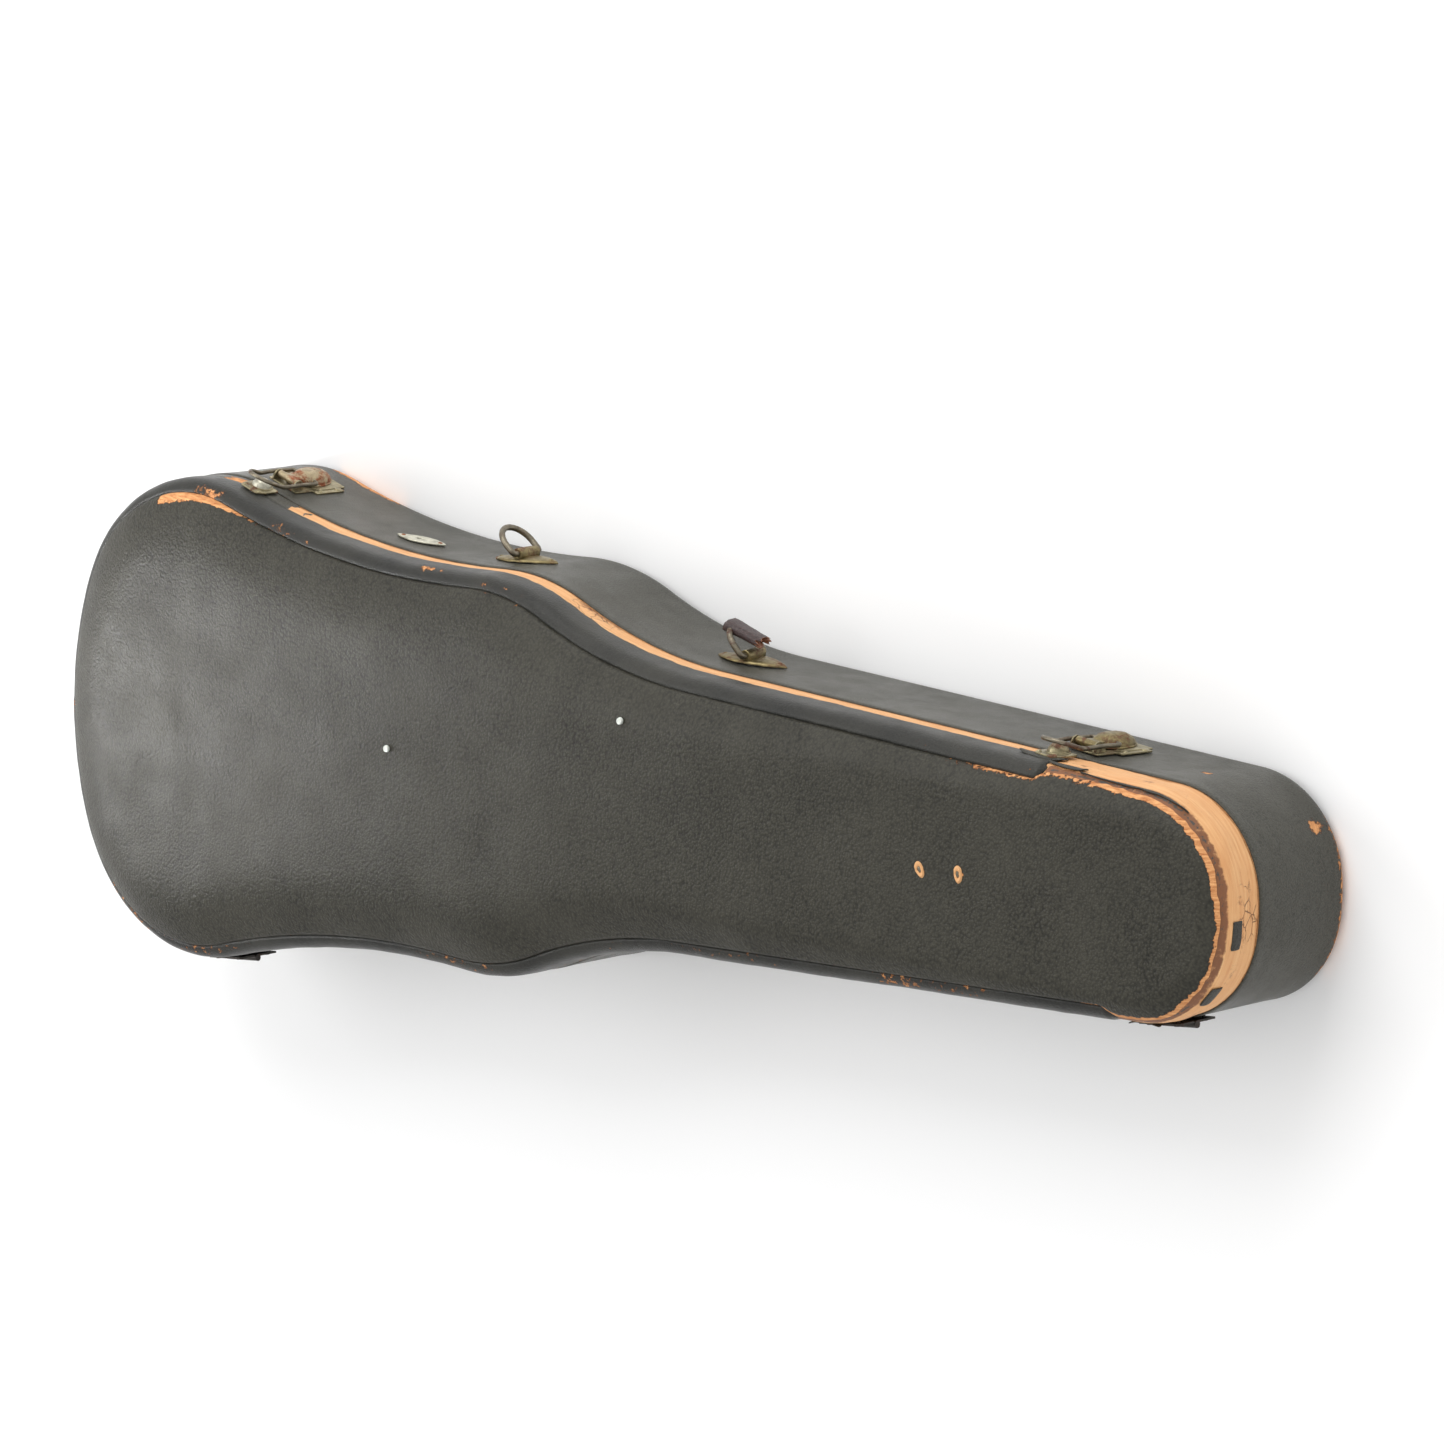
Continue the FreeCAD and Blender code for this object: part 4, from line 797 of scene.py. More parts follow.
def lining_height(x, y, inset, u):
    column = np.arange(inset.shape[1])
    levels = np.array([z for _, z in lid_profile])
    wall = np.interp(column, np.arange(len(levels)), levels)
    deep = lid_under(x, y, inset) + 0.3 * value_noise(x, y, 26, 33)
    rows = np.tile(wall, (inset.shape[0], 1)) + 0.2 * value_noise(u, inset * 3, 12, 34)
    use_wall = (column < 14)[None, :]
    return np.where(use_wall, np.minimum(rows, np.where(inset > 9, deep, rows)), deep)


sheet_over("lid_plush", [i for i, _ in lid_profile], lining_height, PLUSH, "lid", inner=16, level_up=False,
           replaces=("lid_lining",), slot="plush")


# Solids for the fittings, built in a local frame
def rough_up(points, amount, size, seed):
    """Small irregularities of hand-stamped or worn metal."""
    points = np.asarray(points, float)
    shift = np.stack([value_noise(points[:, 0] + 37 * k, points[:, 1] * 1.1 + points[:, 2] * 1.3, size, seed + k)
                      for k in range(3)], axis=1)
    return points + amount * shift


def slab(name, outline_points, low, high, material, body, place, holes=(), **options):
    """Plate cut from sheet: an outline in x and z, from y=low to y=high, edges rounded over."""
    curve = bpy.data.curves.new(name, "CURVE")
    curve.dimensions = "2D"
    curve.fill_mode = "BOTH"
    for ring in [outline_points] + list(holes):
        spline = curve.splines.new("POLY")
        spline.points.add(len(ring) - 1)
        for point, (x, z) in zip(spline.points, ring):
            point.co = (x * MM, z * MM, 0, 1)
        spline.use_cyclic_u = True
    bevel = min(0.22, (high - low) * 0.35)
    curve.extrude = ((high - low) / 2 - bevel) * MM
    curve.bevel_depth = bevel * MM
    curve.bevel_resolution = 2
    curve.offset = -bevel * MM
    made = bpy.data.objects.new(name, curve)
    bpy.context.collection.objects.link(made)
    mesh = bpy.data.meshes.new_from_object(made.evaluated_get(bpy.context.evaluated_depsgraph_get()))
    bpy.data.objects.remove(made)
    with editing(mesh) as work:
        bmesh.ops.triangulate(work, faces=[f for f in work.faces if len(f.verts) > 4])
        bmesh.ops.subdivide_edges(work, edges=[e for e in work.edges if e.calc_length() > 2.4 * MM], cuts=2,
                                  use_grid_fill=True)
        bmesh.ops.triangulate(work, faces=work.faces)
        bmesh.ops.remove_doubles(work, verts=work.verts, dist=0.01 * MM)
        bmesh.ops.recalc_face_normals(work, faces=work.faces)
        middle = (low + high) / 2 * MM
        for vertex in work.verts:
            x, z, y = vertex.co
            vertex.co = place @ Vector(((x / MM), (middle + y) / MM, z / MM)) * MM
        work.normal_update()
    mesh.materials.clear()
    mesh.shade_smooth()
    mesh.set_sharp_from_angle(angle=EDGE)
    return settle(name, mesh, material, body, **options)


def skin_of(rings, closed=False):
    """Vertices and faces of a tube through rings of equal length, capped unless it runs in a loop."""
    count = len(rings[0])
    vertices = [tuple(p) for ring in rings for p in ring]
    faces = grid_faces(len(rings), count, closed, True)
    for ring, base, flip in () if closed else ((rings[0], 0, True), (rings[-1], (len(rings) - 1) * count, False)):
        centre = len(vertices)
        vertices.append(tuple(np.mean(np.asarray(ring, float), axis=0)))
        for k in range(count):
            m = (k + 1) % count
            faces.append((base + m, base + k, centre) if flip else (base + k, base + m, centre))
    return vertices, faces


def tube(path, radius, sides=14, flat=1.0, closed=False):
    """Rings round a path; flat squeezes the section across its sideways direction."""
    path = [Vector(p) for p in path]
    rings = []
    up = Vector((0, 0, 1))
    for i, point in enumerate(path):
        before = path[i - 1] if i or closed else point
        after = path[(i + 1) % len(path)] if i + 1 < len(path) or closed else point
        along = (after - before).normalized()
        side = along.cross(up)
        side = side.normalized() if side.length > 0.1 else Vector((1, 0, 0))
        up = side.cross(along).normalized()
        rings.append([point + (side * math.cos(a) + up * math.sin(a) * flat) * radius
                      for a in (2 * math.pi * k / sides for k in range(sides))])
    return rings


def ring_piece(name, rings, material, body, place, closed=False, rough=0.0, seed=1, **options):
    """Piece through rings of points given in a local frame."""
    vertices, faces = skin_of(rings, closed)
    if rough:
        vertices = rough_up(vertices, rough, 3.0, seed)
    return recalculate(make(name, [tuple(place @ Vector(p)) for p in vertices], faces, material, body, **options))


def joined(name, parts, material, body, slot="aged_nickel", **options):
    """One piece from several, keeping their meshes apart."""
    mesh = bpy.data.meshes.new(name)
    with editing(mesh) as work:
        for part in parts:
            work.from_mesh(part.data)
            old = part.data
            bpy.data.objects.remove(part)
            bpy.data.meshes.remove(old)
    mesh.set_sharp_from_angle(angle=EDGE)
    return settle(name, mesh, material, body, slot=slot, **options)


def dome_rings(centre, radii, low_y, steps=9, sides=26, power=2.0, waist=None):
    """Rings of a domed boss over the xz plane from y=low_y outwards."""
    cx, cy, cz = centre
    rings = []
    for i in range(steps + 1):
        t = math.pi / 2 * i / steps
        out, across = math.sin(t), max(0.02, math.cos(t) ** (2 / power))
        ring = []
        for k in range(sides):
            a = 2 * math.pi * k / sides
            x, z = radii[0] * across * math.cos(a), radii[2] * across * math.sin(a)
            ring.append((cx + (waist(x, z) if waist else x), cy + radii[1] * out, cz + z))
        rings.append(ring)
    return [[(x, low_y, z) for x, _, z in rings[0]]] + rings


def rounded_polygon(corners, radius=0.8, steps=3):
    points = []
    for i, corner in enumerate(corners):
        here = Vector(corner)
        before = (Vector(corners[i - 1]) - here)
        after = (Vector(corners[(i + 1) % len(corners)]) - here)
        reach = min(radius, before.length / 2.2, after.length / 2.2)
        first = here + before.normalized() * reach
        last = here + after.normalized() * reach
        for t in (k / steps for k in range(steps + 1)):
            points.append(tuple(first * (1 - t) ** 2 + here * 2 * t * (1 - t) + last * t * t))
    return points


def rivet_heads(name, spots, place, face, material, body, radius=1.7, height=0.9):
    return [ring_piece("%s_%d" % (name, index),
                       dome_rings((x, face - 0.1, z), (radius, height, radius), face - 0.6, 5, 16),
                       material, body, place, rough=0.06, seed=91 + index) for index, (x, z) in enumerate(spots)]


# Latches
SEAT = 0.3
FACE = 1.3
PIVOT_Y, PIVOT_Z, LINK_Z = 4.2, -12.0, -24.0


def build_latch(side, along, tilt, lever_metal):
    place = wall_frame(along, JOINT, tilt)
    steps = [(-11, -8.2), (-11, -20.2), (-14.9, -20.2), (-14.9, -39.8), (-10.9, -39.8), (-10.9, -43.8),
             (10.9, -43.8), (10.9, -39.8), (14.9, -39.8), (14.9, -20.2), (11, -20.2), (11, -8.2)]
    plate = slab("latch_plate_blank_" + side, rounded_polygon(steps, 1.0), SEAT, FACE - 0.1, PLATE_METAL, "base", place)
    inner = rounded_polygon([(-11.8, -22.6), (-11.8, -37.4), (11.8, -37.4), (11.8, -22.6)], 1.6)
    raised = slab("latch_plate_step_" + side, inner, SEAT + 0.4, FACE + 0.35, PLATE_METAL, "base", place)
    ears = []
    for sign in (-1, 1):
        profile = [(-8.0, FACE - 0.3), (-8.2, 3.4), (-9.6, 5.6), (-11.6, 6.5), (-13.6, 6.1), (-15.2, 4.4),
                   (-16.0, FACE - 0.3)]
        rings = [[(sign * x, y, z) for z, y in profile] for x in (7.35, 8.25)]
        ears.append(ring_piece("latch_ear_%s_%d" % (side, sign), rings, PLATE_METAL, "base", place))
    joined("latch_base_plate_" + side, [plate, raised] + ears, PLATE_METAL, "base",
           replaces=("latch_plate_" + side,))

    def bean(x, z):
        return x * (1 - 0.30 * bell(z, 9.5, 3.6))

    body_name = "latch_%s_lever" % side
    dome = ring_piece("lever_dome_" + side,
                      dome_rings((0, 2.2, -27), (7.9, 6.0, 13.8), 1.9, 12, 34, 2.5, bean),
                      lever_metal, body_name, place, rough=0.16, seed=101)
    lip_path = [(bean(8.2 * math.cos(a), 14.2 * math.sin(a)), 2.1, -27 + 14.2 * math.sin(a))
                for a in turns(44)]
    lip = ring_piece("lever_lip_" + side, tube(lip_path, 0.45, 8, closed=True), lever_metal, body_name, place, True)
    curl_path = [(x, PIVOT_Y, PIVOT_Z) for x in np.linspace(-6.9, 6.9, 12)]
    curl = ring_piece("lever_curl_" + side, tube(curl_path, 2.0, 18), lever_metal, body_name, place, rough=0.05)
    sections = ((-21.5, 4.6, 4.4, 1.1), (-18, 4.0, 4.8, 1.0), (-15, 4.1, 5.0, 0.9), (-12.5, 4.6, 5.4, 0.7))
    rings = [[(wide * math.cos(a), mid + thick * math.sin(a), z) for a in turns(18)]
             for z, wide, mid, thick in sections]
    tongue = ring_piece("lever_tongue_" + side, rings, lever_metal, body_name, place)
    joined("latch_lever_shell_" + side, [dome, lip, curl, tongue], lever_metal, body_name,
           replaces=("latch_lever_" + side,))

    arm = 9.8
    half = []
    for z in np.linspace(LINK_Z, 0, 15):
        wave = 0.5 * math.sin(math.pi * (z - LINK_Z) / 24) ** 2
        half.append((arm, PIVOT_Y + wave * 0.6, z))
    rise = Vector((0, 0.3, 1.0)).normalized()
    shoulder = Vector((arm, PIVOT_Y, 0)) + rise * 4
    loop = [Vector(p) for p in half] + [shoulder]
    for a in np.linspace(0, math.pi, 19)[1:-1]:
        loop.append(Vector((arm * math.cos(a), shoulder.y, shoulder.z)) + rise * (arm * math.sin(a)))
    loop += [Vector((-p.x, p.y, p.z)) for p in reversed([Vector(q) for q in half] + [shoulder])]
    start = [Vector((4.2, PIVOT_Y, LINK_Z)), Vector((7.4, PIVOT_Y, LINK_Z)), Vector((9.0, PIVOT_Y, LINK_Z + 0.25)),
             Vector((9.65, PIVOT_Y, LINK_Z + 1.0))]
    path = start + loop[1:-1] + [Vector((-p.x, p.y, p.z)) for p in reversed(start)]
    ring_piece("latch_wire_" + side, tube(path, 1.12, 12, flat=0.86), WIRE, "latch_%s_link" % side, place, rough=0.07,
               seed=111, replaces=("latch_link_" + side,), slot="aged_nickel")

    corners = [(-8, 1.2), (-8, 10.5), (-6.2, 15.8), (6.2, 15.8), (8, 10.5), (8, 1.2)]
    strike = slab("catch_plate_blank_" + side, rounded_polygon(corners, 1.2), SEAT, FACE, PLATE_METAL, "lid", place)
    rings = dome_rings((0, FACE - 0.1, 6.5), (5.3, 4.6, 5.3), FACE - 0.5, 10, 28, 2.4)
    button = ring_piece("catch_button_" + side, rings,
                        PALE_METAL if side == "butt" else PLATE_METAL, "lid", place, rough=0.12, seed=121)
    collar_path = [(5.6 * math.cos(a), FACE + 0.1, 6.5 + 5.6 * math.sin(a)) for a in turns(30)]
    rings = tube(collar_path, 0.45, 8, closed=True)
    collar = ring_piece("catch_collar_" + side, rings, PLATE_METAL, "lid", place, True)
    joined("latch_catch_plate_" + side, [strike, collar], PLATE_METAL, "lid", replaces=("latch_catch_" + side,))
    return place


latches = [("butt", build_latch("butt", LATCH_BUTT, 0.0, RUSTY_METAL)),
           ("nose", build_latch("nose", LATCH_NOSE, -8.0, BRASSY))]
base_spots = [(x, z) for z in (-24, -36) for x in (-12.9, 12.9)]
lid_spots = ((-5.5, 13.3), (5.5, 13.3))
heads, catch_heads = [], []
for side, place in latches:
    heads += rivet_heads("base_rivet_" + side, base_spots, place, FACE - 0.1, PLATE_METAL, "base", 1.5, 0.8)
    catch_heads += rivet_heads("catch_rivet_" + side, lid_spots, place, FACE, PLATE_METAL, "lid", 1.4, 0.8)
joined("latch_rivet_heads", heads, PLATE_METAL, "base", replaces=("latch_rivets",))
joined("catch_rivet_heads", catch_heads, PLATE_METAL, "lid", replaces=("latch_catch_rivets",))


# Lock escutcheon
def lens(half_long, half_high, count):
    radius = (half_long ** 2 + half_high ** 2) / (2 * half_high)
    sweep = math.asin(half_long / radius)
    upper = [(radius * math.sin(a), radius * math.cos(a) - radius + half_high)
             for a in np.linspace(-sweep, sweep, count)]
    lower = [(x, -z) for x, z in reversed(upper[1:-1])]
    return upper + lower


lock_place = wall_frame(LOCK_ALONG, LOCK_LEVEL, 12.0)
slot_hole = [(-3.4, 0.7), (-2.9, 1.3), (-1.7, 1.4), (-0.9, 0.75), (3.3, 0.6), (3.6, 0.0), (3.3, -0.7), (-0.9, -0.75),
             (-1.7, -1.4), (-2.9, -1.3), (-3.4, -0.7)]
stepped = []
for x, z in lens(15.4, 6.1, 40):
    stepped.append((x * (1.0 if abs(x) < 9 else 0.99), z * (1.0 - 0.10 * bell(abs(x), 9.2, 1.2))))
slab("lock_escutcheon", stepped, 0.3, 1.15, PALE_METAL, "base", lock_place, holes=(list(reversed(slot_hole)),),
     replaces=("escutcheon",), slot="aged_nickel")
tacks = rivet_heads("lock_tack", ((-11.5, 0), (11.5, 0)), lock_place, 1.1, RUSTY_METAL, "base", 1.3, 0.7)
joined("escutcheon_tack_heads", tacks, RUSTY_METAL, "base", replaces=("escutcheon_pins",))


# Handle plates, rings and the torn end of the handle
def build_mount(side, along, tilt, gap):
    place = wall_frame(along, MOUNT_LEVEL, tilt)
    rings = []
    edge = lens(19.9, 9.4, 30)
    for scale, out in ((1.0, gap - 0.05), (1.0, gap + 0.45), (0.97, gap + 0.95), (0.9, gap + 1.35), (0.74, gap + 1.75),
                       (0.5, gap + 2.05), (0.2, gap + 2.2)):
        rings.append([(x * scale, out - 0.5 * (abs(x * scale) / 20) ** 2, z * scale) for x, z in edge])
    plate = ring_piece("mount_plate_" + side, rings, BRASSY, "base", place, rough=0.16, seed=131)
    barrel_rings = []
    for z, r in ((-8.0, 2.5), (-7.7, 2.85), (-4, 2.95), (0, 3.0), (4, 2.95), (7.7, 2.85), (8.0, 2.5)):
        ring = []
        for a in turns(22):
            x, y = r * math.cos(a), 4.4 + r * math.sin(a)
            if y < 3.4:
                x *= 1.0 + 0.9 * (3.4 - y) / 3.4
            ring.append((x, max(gap + 0.3, y), z))
        barrel_rings.append(ring)
    barrel = ring_piece("mount_barrel_" + side, barrel_rings, BRASSY, "base", place, rough=0.1, seed=133)
    joined("handle_mount_" + side, [plate, barrel], BRASSY, "base", replaces=("handle_plate_" + side,))
    lean = place @ Matrix.Translation((0, 4.4, 0)) @ Matrix.Rotation(math.radians(45), 4, "Z")
    half, leg = 11.0, 6.0
    path = [(0, 0, z) for z in np.linspace(-half + 1.6, half - 1.6, 9)] + [(0, 0.5, half - 0.5), (0, 1.6, half)]
    path += [(0, y, half) for y in np.linspace(2.6, leg, 4)]
    path += [(0, leg + half * math.sin(a), half * math.cos(a)) for a in np.linspace(0, math.pi, 25)[1:-1]]
    path += [(0, y, -half) for y in np.linspace(leg, 2.6, 4)] + [(0, 1.6, -half), (0, 0.5, -half + 0.5)]
    ring_piece("handle_loop_" + side, tube(path, 1.6, 14, closed=True), WIRE, "handle_ring_" + side, lean, True,
               rough=0.06, seed=135, replaces=("handle_ring_" + side,), slot="aged_nickel")
    tacks = rivet_heads("mount_tack_" + side, ((-15.5, 0), (15.5, 0)), place, gap + 1.1, BRASSY, "base", 1.5, 0.75)
    return place, tacks


_, first_tacks = build_mount("butt", MOUNT_BUTT, 8.0, 0.5)
nose_mount, last_tacks = build_mount("nose", MOUNT_NOSE, 12.0, 1.0)
joined("mount_tack_heads", first_tacks + last_tacks, BRASSY, "base", replaces=("handle_plate_tacks",))

# leather folded round the ring, torn off at the other end
stub_place = nose_mount @ Matrix.Translation((-14.5, 17.0, 0)) @ Matrix.Rotation(math.radians(-17), 4, "Z")
stub_rings, sides = [], 40
for i, x in enumerate(np.linspace(0, 21.0, 26)):
    share = x / 21.0
    ring = []
    for k in range(sides):
        a = 2 * math.pi * k / sides
        cosine, sine = math.cos(a), math.sin(a)
        z = 6.5 * math.copysign(abs(cosine) ** 0.55, cosine)
        y = 3.1 * math.copysign(abs(sine) ** 0.75, sine) * (1 - 0.25 * share)
        seam = 0.55 * bell(abs(z), 4.9, 0.5) * (1 if sine > 0 else 0.4)
        y -= math.copysign(seam * (0.6 + 0.4 * math.cos(x * 2.2)), sine)
        tear = share ** 6 * (2.2 * float(value_noise(k * 1.0, 0.0, 2.2, 141)) - 1.1 * (sine < 0))
        ring.append((x + tear, y + 0.18 * float(value_noise(x, z, 4, 142)), z * (1 - 0.05 * share)))
    stub_rings.append(ring)
for inset, back in ((0.86, 0.4), (0.7, 1.8), (0.35, 2.4)):
    stub_rings.append([(x - back, y * inset, z * inset) for x, y, z in stub_rings[25]])
raw_field = [0.0 if i < 22 else (0.35 if i < 25 else 0.8) for i in range(len(stub_rings)) for _ in range(sides)]
raw_field += [0.1, 0.9]
ring_piece("handle_leather_end", stub_rings, STRAP, "handle_ring_nose", stub_place, fields={"raw": raw_field},
           replaces=("handle_stub",), slot="leather")


# Lid rivets, nail holes and torn covering
def on_lid(x, y):
    """Frame on the arched skin at a place seen from above, z along the surface's normal."""
    def level(px, py):
        reach = float(np.min(np.abs(PLACE - complex(px, py))))
        return float(arch_level(np.array(reach), np.array(px)))
    here = Vector((x, y, level(x, y)))
    slope_x = (level(x + 2, y) - level(x - 2, y)) / 4
    slope_y = (level(x, y + 2) - level(x, y - 2)) / 4
    normal = Vector((-slope_x, -slope_y, 1)).normalized()
    turn = Vector((0, 0, 1)).rotation_difference(normal).to_matrix().to_4x4()
    return Matrix.Translation(here) @ turn


heads = []
for index, spot in enumerate(BOW_RIVETS):
    rings = [[(r * math.cos(a), r * math.sin(a), z) for a in turns(24)]
             for r, z in ((1.2, -0.9), (1.6, -0.1), (1.8, 0.3), (1.75, 0.75), (1.3, 1.0), (0.7, 1.1), (0.15, 1.12))]
    heads.append(ring_piece("bow_rivet_head_%d" % index, rings, PALE_METAL, "lid", on_lid(*spot), rough=0.08,
                            seed=151 + index))
CHALK = old_metal("pale_rivet", srgb(226, 230, 222), srgb(150, 150, 140), 0.5, 0.15, -0.1)
joined("bow_rivet_heads", heads, CHALK, "lid")

hole_parts, core_parts = [], []
for index, (spot, turn) in enumerate(zip(NAIL_HOLES, (0.5, 0.1))):
    place = on_lid(*spot) @ Matrix.Rotation(turn, 4, "Z")
    rings = []
    for r, z in ((3.5, -0.35), (3.2, 0.12), (2.6, 0.42), (1.9, 0.42), (1.35, 0.1), (1.15, -0.5)):
        rings.append([((r + 0.5 * float(value_noise(k, index * 7.0, 3.1, 161))) * math.cos(a) * 0.74,
                       (r + 0.5 * float(value_noise(k, index * 7.0 + 3, 3.7, 162))) * math.sin(a) * 1.15,
                       z + 0.2 * float(value_noise(k, r * 3, 2.0, 163)))
                      for k, a in enumerate(turns(26))])
    hole_parts.append(ring_piece("hole_rim_%d" % index, rings, SCAR, "lid", place))
    core = [[(r * math.cos(a) * 0.8, r * math.sin(a) * 1.15, z) for a in turns(18)]
            for r, z in ((1.3, 0.06), (0.9, 0.2), (0.3, 0.24))]
    core_parts.append(ring_piece("hole_core_%d" % index, core, FLAP_HIDE, "lid", place))
joined("nail_hole_tears", hole_parts, BARE, "lid", slot="wood")
joined("nail_hole_cores", core_parts, WIRE, "lid", slot="lock_steel")


def flap(name, start_x, end_x, side, low, high, out, seed, curl=1.5, ease=0.12, pinch=0.55):
    """Loose strip of covering lying along the wall, curled away at its ends."""
    first, last = sorted((length_at(start_x, side), length_at(end_x, side)))
    chosen = (LENGTH >= first) & (LENGTH <= last)
    spots, normals, u = PLACE[chosen], NORMAL[chosen], LENGTH[chosen]
    rows, columns = len(u), 7
    vertices = []
    for i in range(rows):
        share = i / max(1, rows - 1)
        end = bell(share, 0, ease) + bell(share, 1, ease)
        for k in range(columns):
            t = k / (columns - 1)
            jag = 0.9 * float(ragged(np.array([u[i]]), 6, seed + (k == 0))[0]) if k in (0, columns - 1) else 0.0
            wide = 1 - pinch * end
            level = (low + high) / 2 + ((t - 0.5) * (high - low) + jag) * wide
            lift = out + curl * end * (0.3 + t) + 0.45 * math.sin(math.pi * t)
            spot = spots[i] + normals[i] * lift
            vertices.append((spot.real, spot.imag, level))
    piece = make(name, vertices, grid_faces(rows, columns, False), FLAP_HIDE, "lid", slot="smooth_leatherette")
    thick = piece.modifiers.new("thickness", "SOLIDIFY")
    thick.thickness = 0.7 * MM
    thick.offset = -1
    return subdivided(apply_modifiers(piece))


flap("torn_piping", 306, 370, 1, 88.6, 90.8, -1.5, 171, curl=0.8)
flap("torn_flap_nose_latch", 262, 290, 1, 76.8, 84.0, 0.15, 173, curl=1.0)
flap("torn_flap_under_latch", 284, 308, 1, 84.2, 88.8, -0.35, 175, curl=0.9)
flap("torn_tab_far", 378.5, 386.5, -1, 80.0, 87.5, -0.25, 179, curl=0.2, ease=0.05, pinch=0.0)
flap("tar_patch", 394.98, 393.75, -1, 78.6, 85.6, -0.25, 183, curl=0.15, ease=0.04, pinch=0.0)
flap("torn_strip_far", 333, 352, -1, 78.0, 84.5, 0.2, 181, curl=1.2)


# Fittings kept from the frame, with their own materials
def dress(material, *names):
    for node_name in names:
        data = NODES[node_name].data
        data.materials.clear()
        data.materials.append(material)
        data.shade_smooth()
        data.set_sharp_from_angle(angle=math.radians(30))


def soften(width, *names):
    """Break the sharp edges of kept CAD parts."""
    for node_name in names:
        bevel = NODES[node_name].modifiers.new("soft_edges", "BEVEL")
        bevel.width = width * MM
        bevel.segments = 2
        bevel.limit_method = "ANGLE"
        bevel.angle_limit = math.radians(40)


dress(PLATE_METAL, "latch_pivot_pins")
dress(STEEL, "lock_body", "lock_bolt", "lock_strike")
HINGES = ("hinge_leaf_base_butt", "hinge_leaf_base_nose", "hinge_leaf_lid_butt", "hinge_leaf_lid_nose")
dress(BLACKENED, "hinge_pins", "hinge_screws_base", "hinge_screws_lid", *HINGES)
dress(BRASS, "accessory_brackets", "accessory_lid_pin")
dress(CHALK, "bow_rivets")
dress(PLUSH, "accessory_partition", "accessory_lid", "accessory_ledges", "accessory_top")
dress(STRAP, "accessory_tab")
dress(BLACK_WOOD, "bow_toggle_butt", "bow_toggle_middle", "bow_blocks")
soften(0.25, "accessory_brackets", *HINGES)
soften(0.9, "bow_toggle_butt", "bow_toggle_middle", "accessory_partition", "accessory_lid", "accessory_top")

# neck rest: a stuffed block in the lining cloth, hollowed for the neck
low, high = node_mm("neck_rest")
rest_rings = []
for x in np.concatenate([[low[0] + 0.2], np.linspace(low[0] + 1.2, high[0] - 1.2, 13), [high[0] - 0.2]]):
    end = min(x - low[0], high[0] - x)
    inset = 2.2 * math.exp(-end / 1.6)
    ring = []
    for k in range(96):
        share = k / 96 * 4
        side = int(share)
        t = share - side
        half_wide, floor_z, top_z = high[1] - 0.4, low[2] + 0.2, high[2] - 0.4
        if side == 0:
            y, z = -half_wide + 2 * half_wide * t, top_z
        elif side == 1:
            y, z = half_wide, top_z + (floor_z - top_z) * t
        elif side == 2:
            y, z = half_wide - 2 * half_wide * t, floor_z
        else:
            y, z = -half_wide, floor_z + (top_z - floor_z) * t
        if side == 0:
            cup = math.sqrt(max(0.0, 20.6 ** 2 - y * y)) if abs(y) < 20.6 else 0.0
            z -= cup
            z -= 2.0 * smooth(abs(y), half_wide - 5, half_wide) ** 2
            if abs(y) >= 20.6:
                z -= 1.6 * math.exp(-(abs(y) - 20.6) / 2.2)
        pull = 0.5 * float(value_noise(y, z + x, 11, 191))
        ring.append((x, y * (1 - inset / 60), z - (inset if side == 0 else 0) + (pull if side != 2 else 0) * 0.7))
    rest_rings.append(ring)
rest = make("neck_rest_pad", *skin_of(rest_rings), PLUSH, "base", replaces=("neck_rest",), slot="plush")
recalculate(rest)
rest = subdivided(rest)


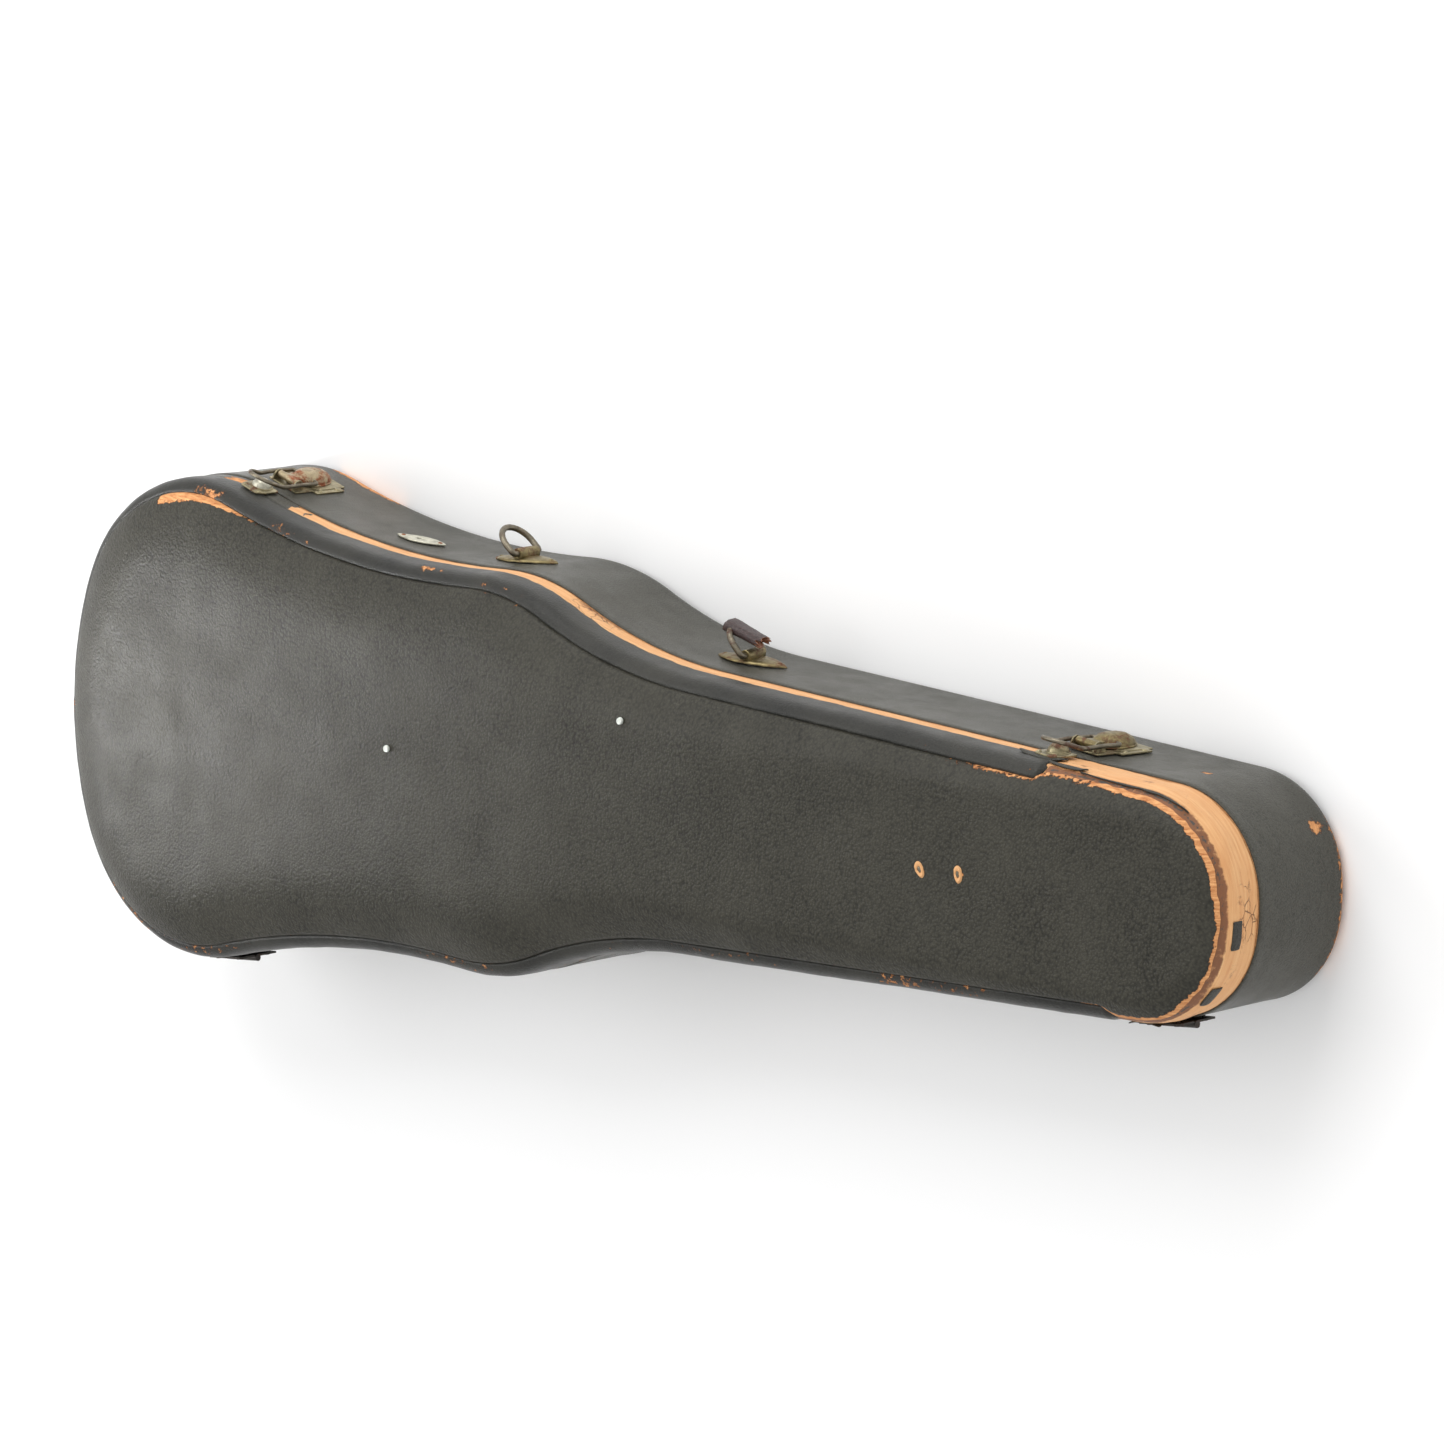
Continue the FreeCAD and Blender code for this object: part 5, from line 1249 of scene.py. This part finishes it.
# Floor, light and camera
scene = bpy.context.scene
floor_material = bpy.data.materials.new("studio_white")
floor_material.use_nodes = True
floor_shader = floor_material.node_tree.nodes["Principled BSDF"]
floor_shader.inputs["Base Color"].default_value = (0.93, 0.93, 0.93, 1)
floor_shader.inputs["Roughness"].default_value = 0.9
floor_mesh = bpy.data.meshes.new("floor")
reach = 14.0
corners = [(-reach, -reach, 0), (reach, -reach, 0), (reach, reach, 0), (-reach, reach, 0)]
floor_mesh.from_pydata(corners, [], [(0, 1, 2, 3)])
floor_mesh.materials.append(floor_material)
floor = bpy.data.objects.new("floor", floor_mesh)
scene.collection.objects.link(floor)

world = bpy.data.worlds.new("studio")
world.use_nodes = True
world.node_tree.nodes["Background"].inputs["Color"].default_value = (1, 1, 1, 1)
world.node_tree.nodes["Background"].inputs["Strength"].default_value = 0.75
scene.world = world
scene.view_settings.view_transform = "Standard"


def lamp(name, place, aim, size, power, spread=180):
    data = bpy.data.lights.new(name, "AREA")
    data.size = size
    data.spread = math.radians(spread)
    data.energy = power
    made = bpy.data.objects.new(name, data)
    made.location = place
    made.rotation_mode = "QUATERNION"
    made.rotation_quaternion = (Vector(aim) - Vector(place)).to_track_quat("-Z", "Y")
    made.visible_camera = False
    scene.collection.objects.link(made)


lamp("key", (-1.5, 0.5, 1.7), (-0.25, 0.0, 0.08), 1.3, 14)
lamp("sky", (-0.1, 2.3, 1.5), (-0.05, 0.1, 0.05), 2.2, 48)
lamp("fill", (1.6, -1.2, 2.2), (0.1, 0.0, 0.05), 2.4, 13)
lamp("butt_glow", (-0.80, -0.11, 0.46), (-0.345, 0.02, 0.11), 0.20, 0.17, spread=32)

TARGET = Vector((40.04, 38.78, 45.06)) * MM
DISTANCE = 2933.3 * MM
turn_x, turn_y, roll = math.radians(42.816), math.radians(9.778), math.radians(1.444)
toward_camera = Vector((math.sin(turn_x) * math.cos(turn_y), math.sin(turn_y), math.cos(turn_x) * math.cos(turn_y)))
right = (-toward_camera).cross(Vector((0, 1, 0))).normalized()
upward = right.cross(-toward_camera)
camera_right = right * math.cos(roll) + upward * math.sin(roll)
camera_up = upward * math.cos(roll) - right * math.sin(roll)
camera_data = bpy.data.cameras.new("camera")
camera_data.sensor_width = 36.0
camera_data.lens = 147.7
camera_data.clip_end = 60
camera = bpy.data.objects.new("camera", camera_data)
axes = Matrix((camera_right, camera_up, toward_camera)).transposed().to_4x4()
camera.matrix_world = Matrix.Translation(TARGET + toward_camera * DISTANCE) @ axes
scene.collection.objects.link(camera)
scene.camera = camera
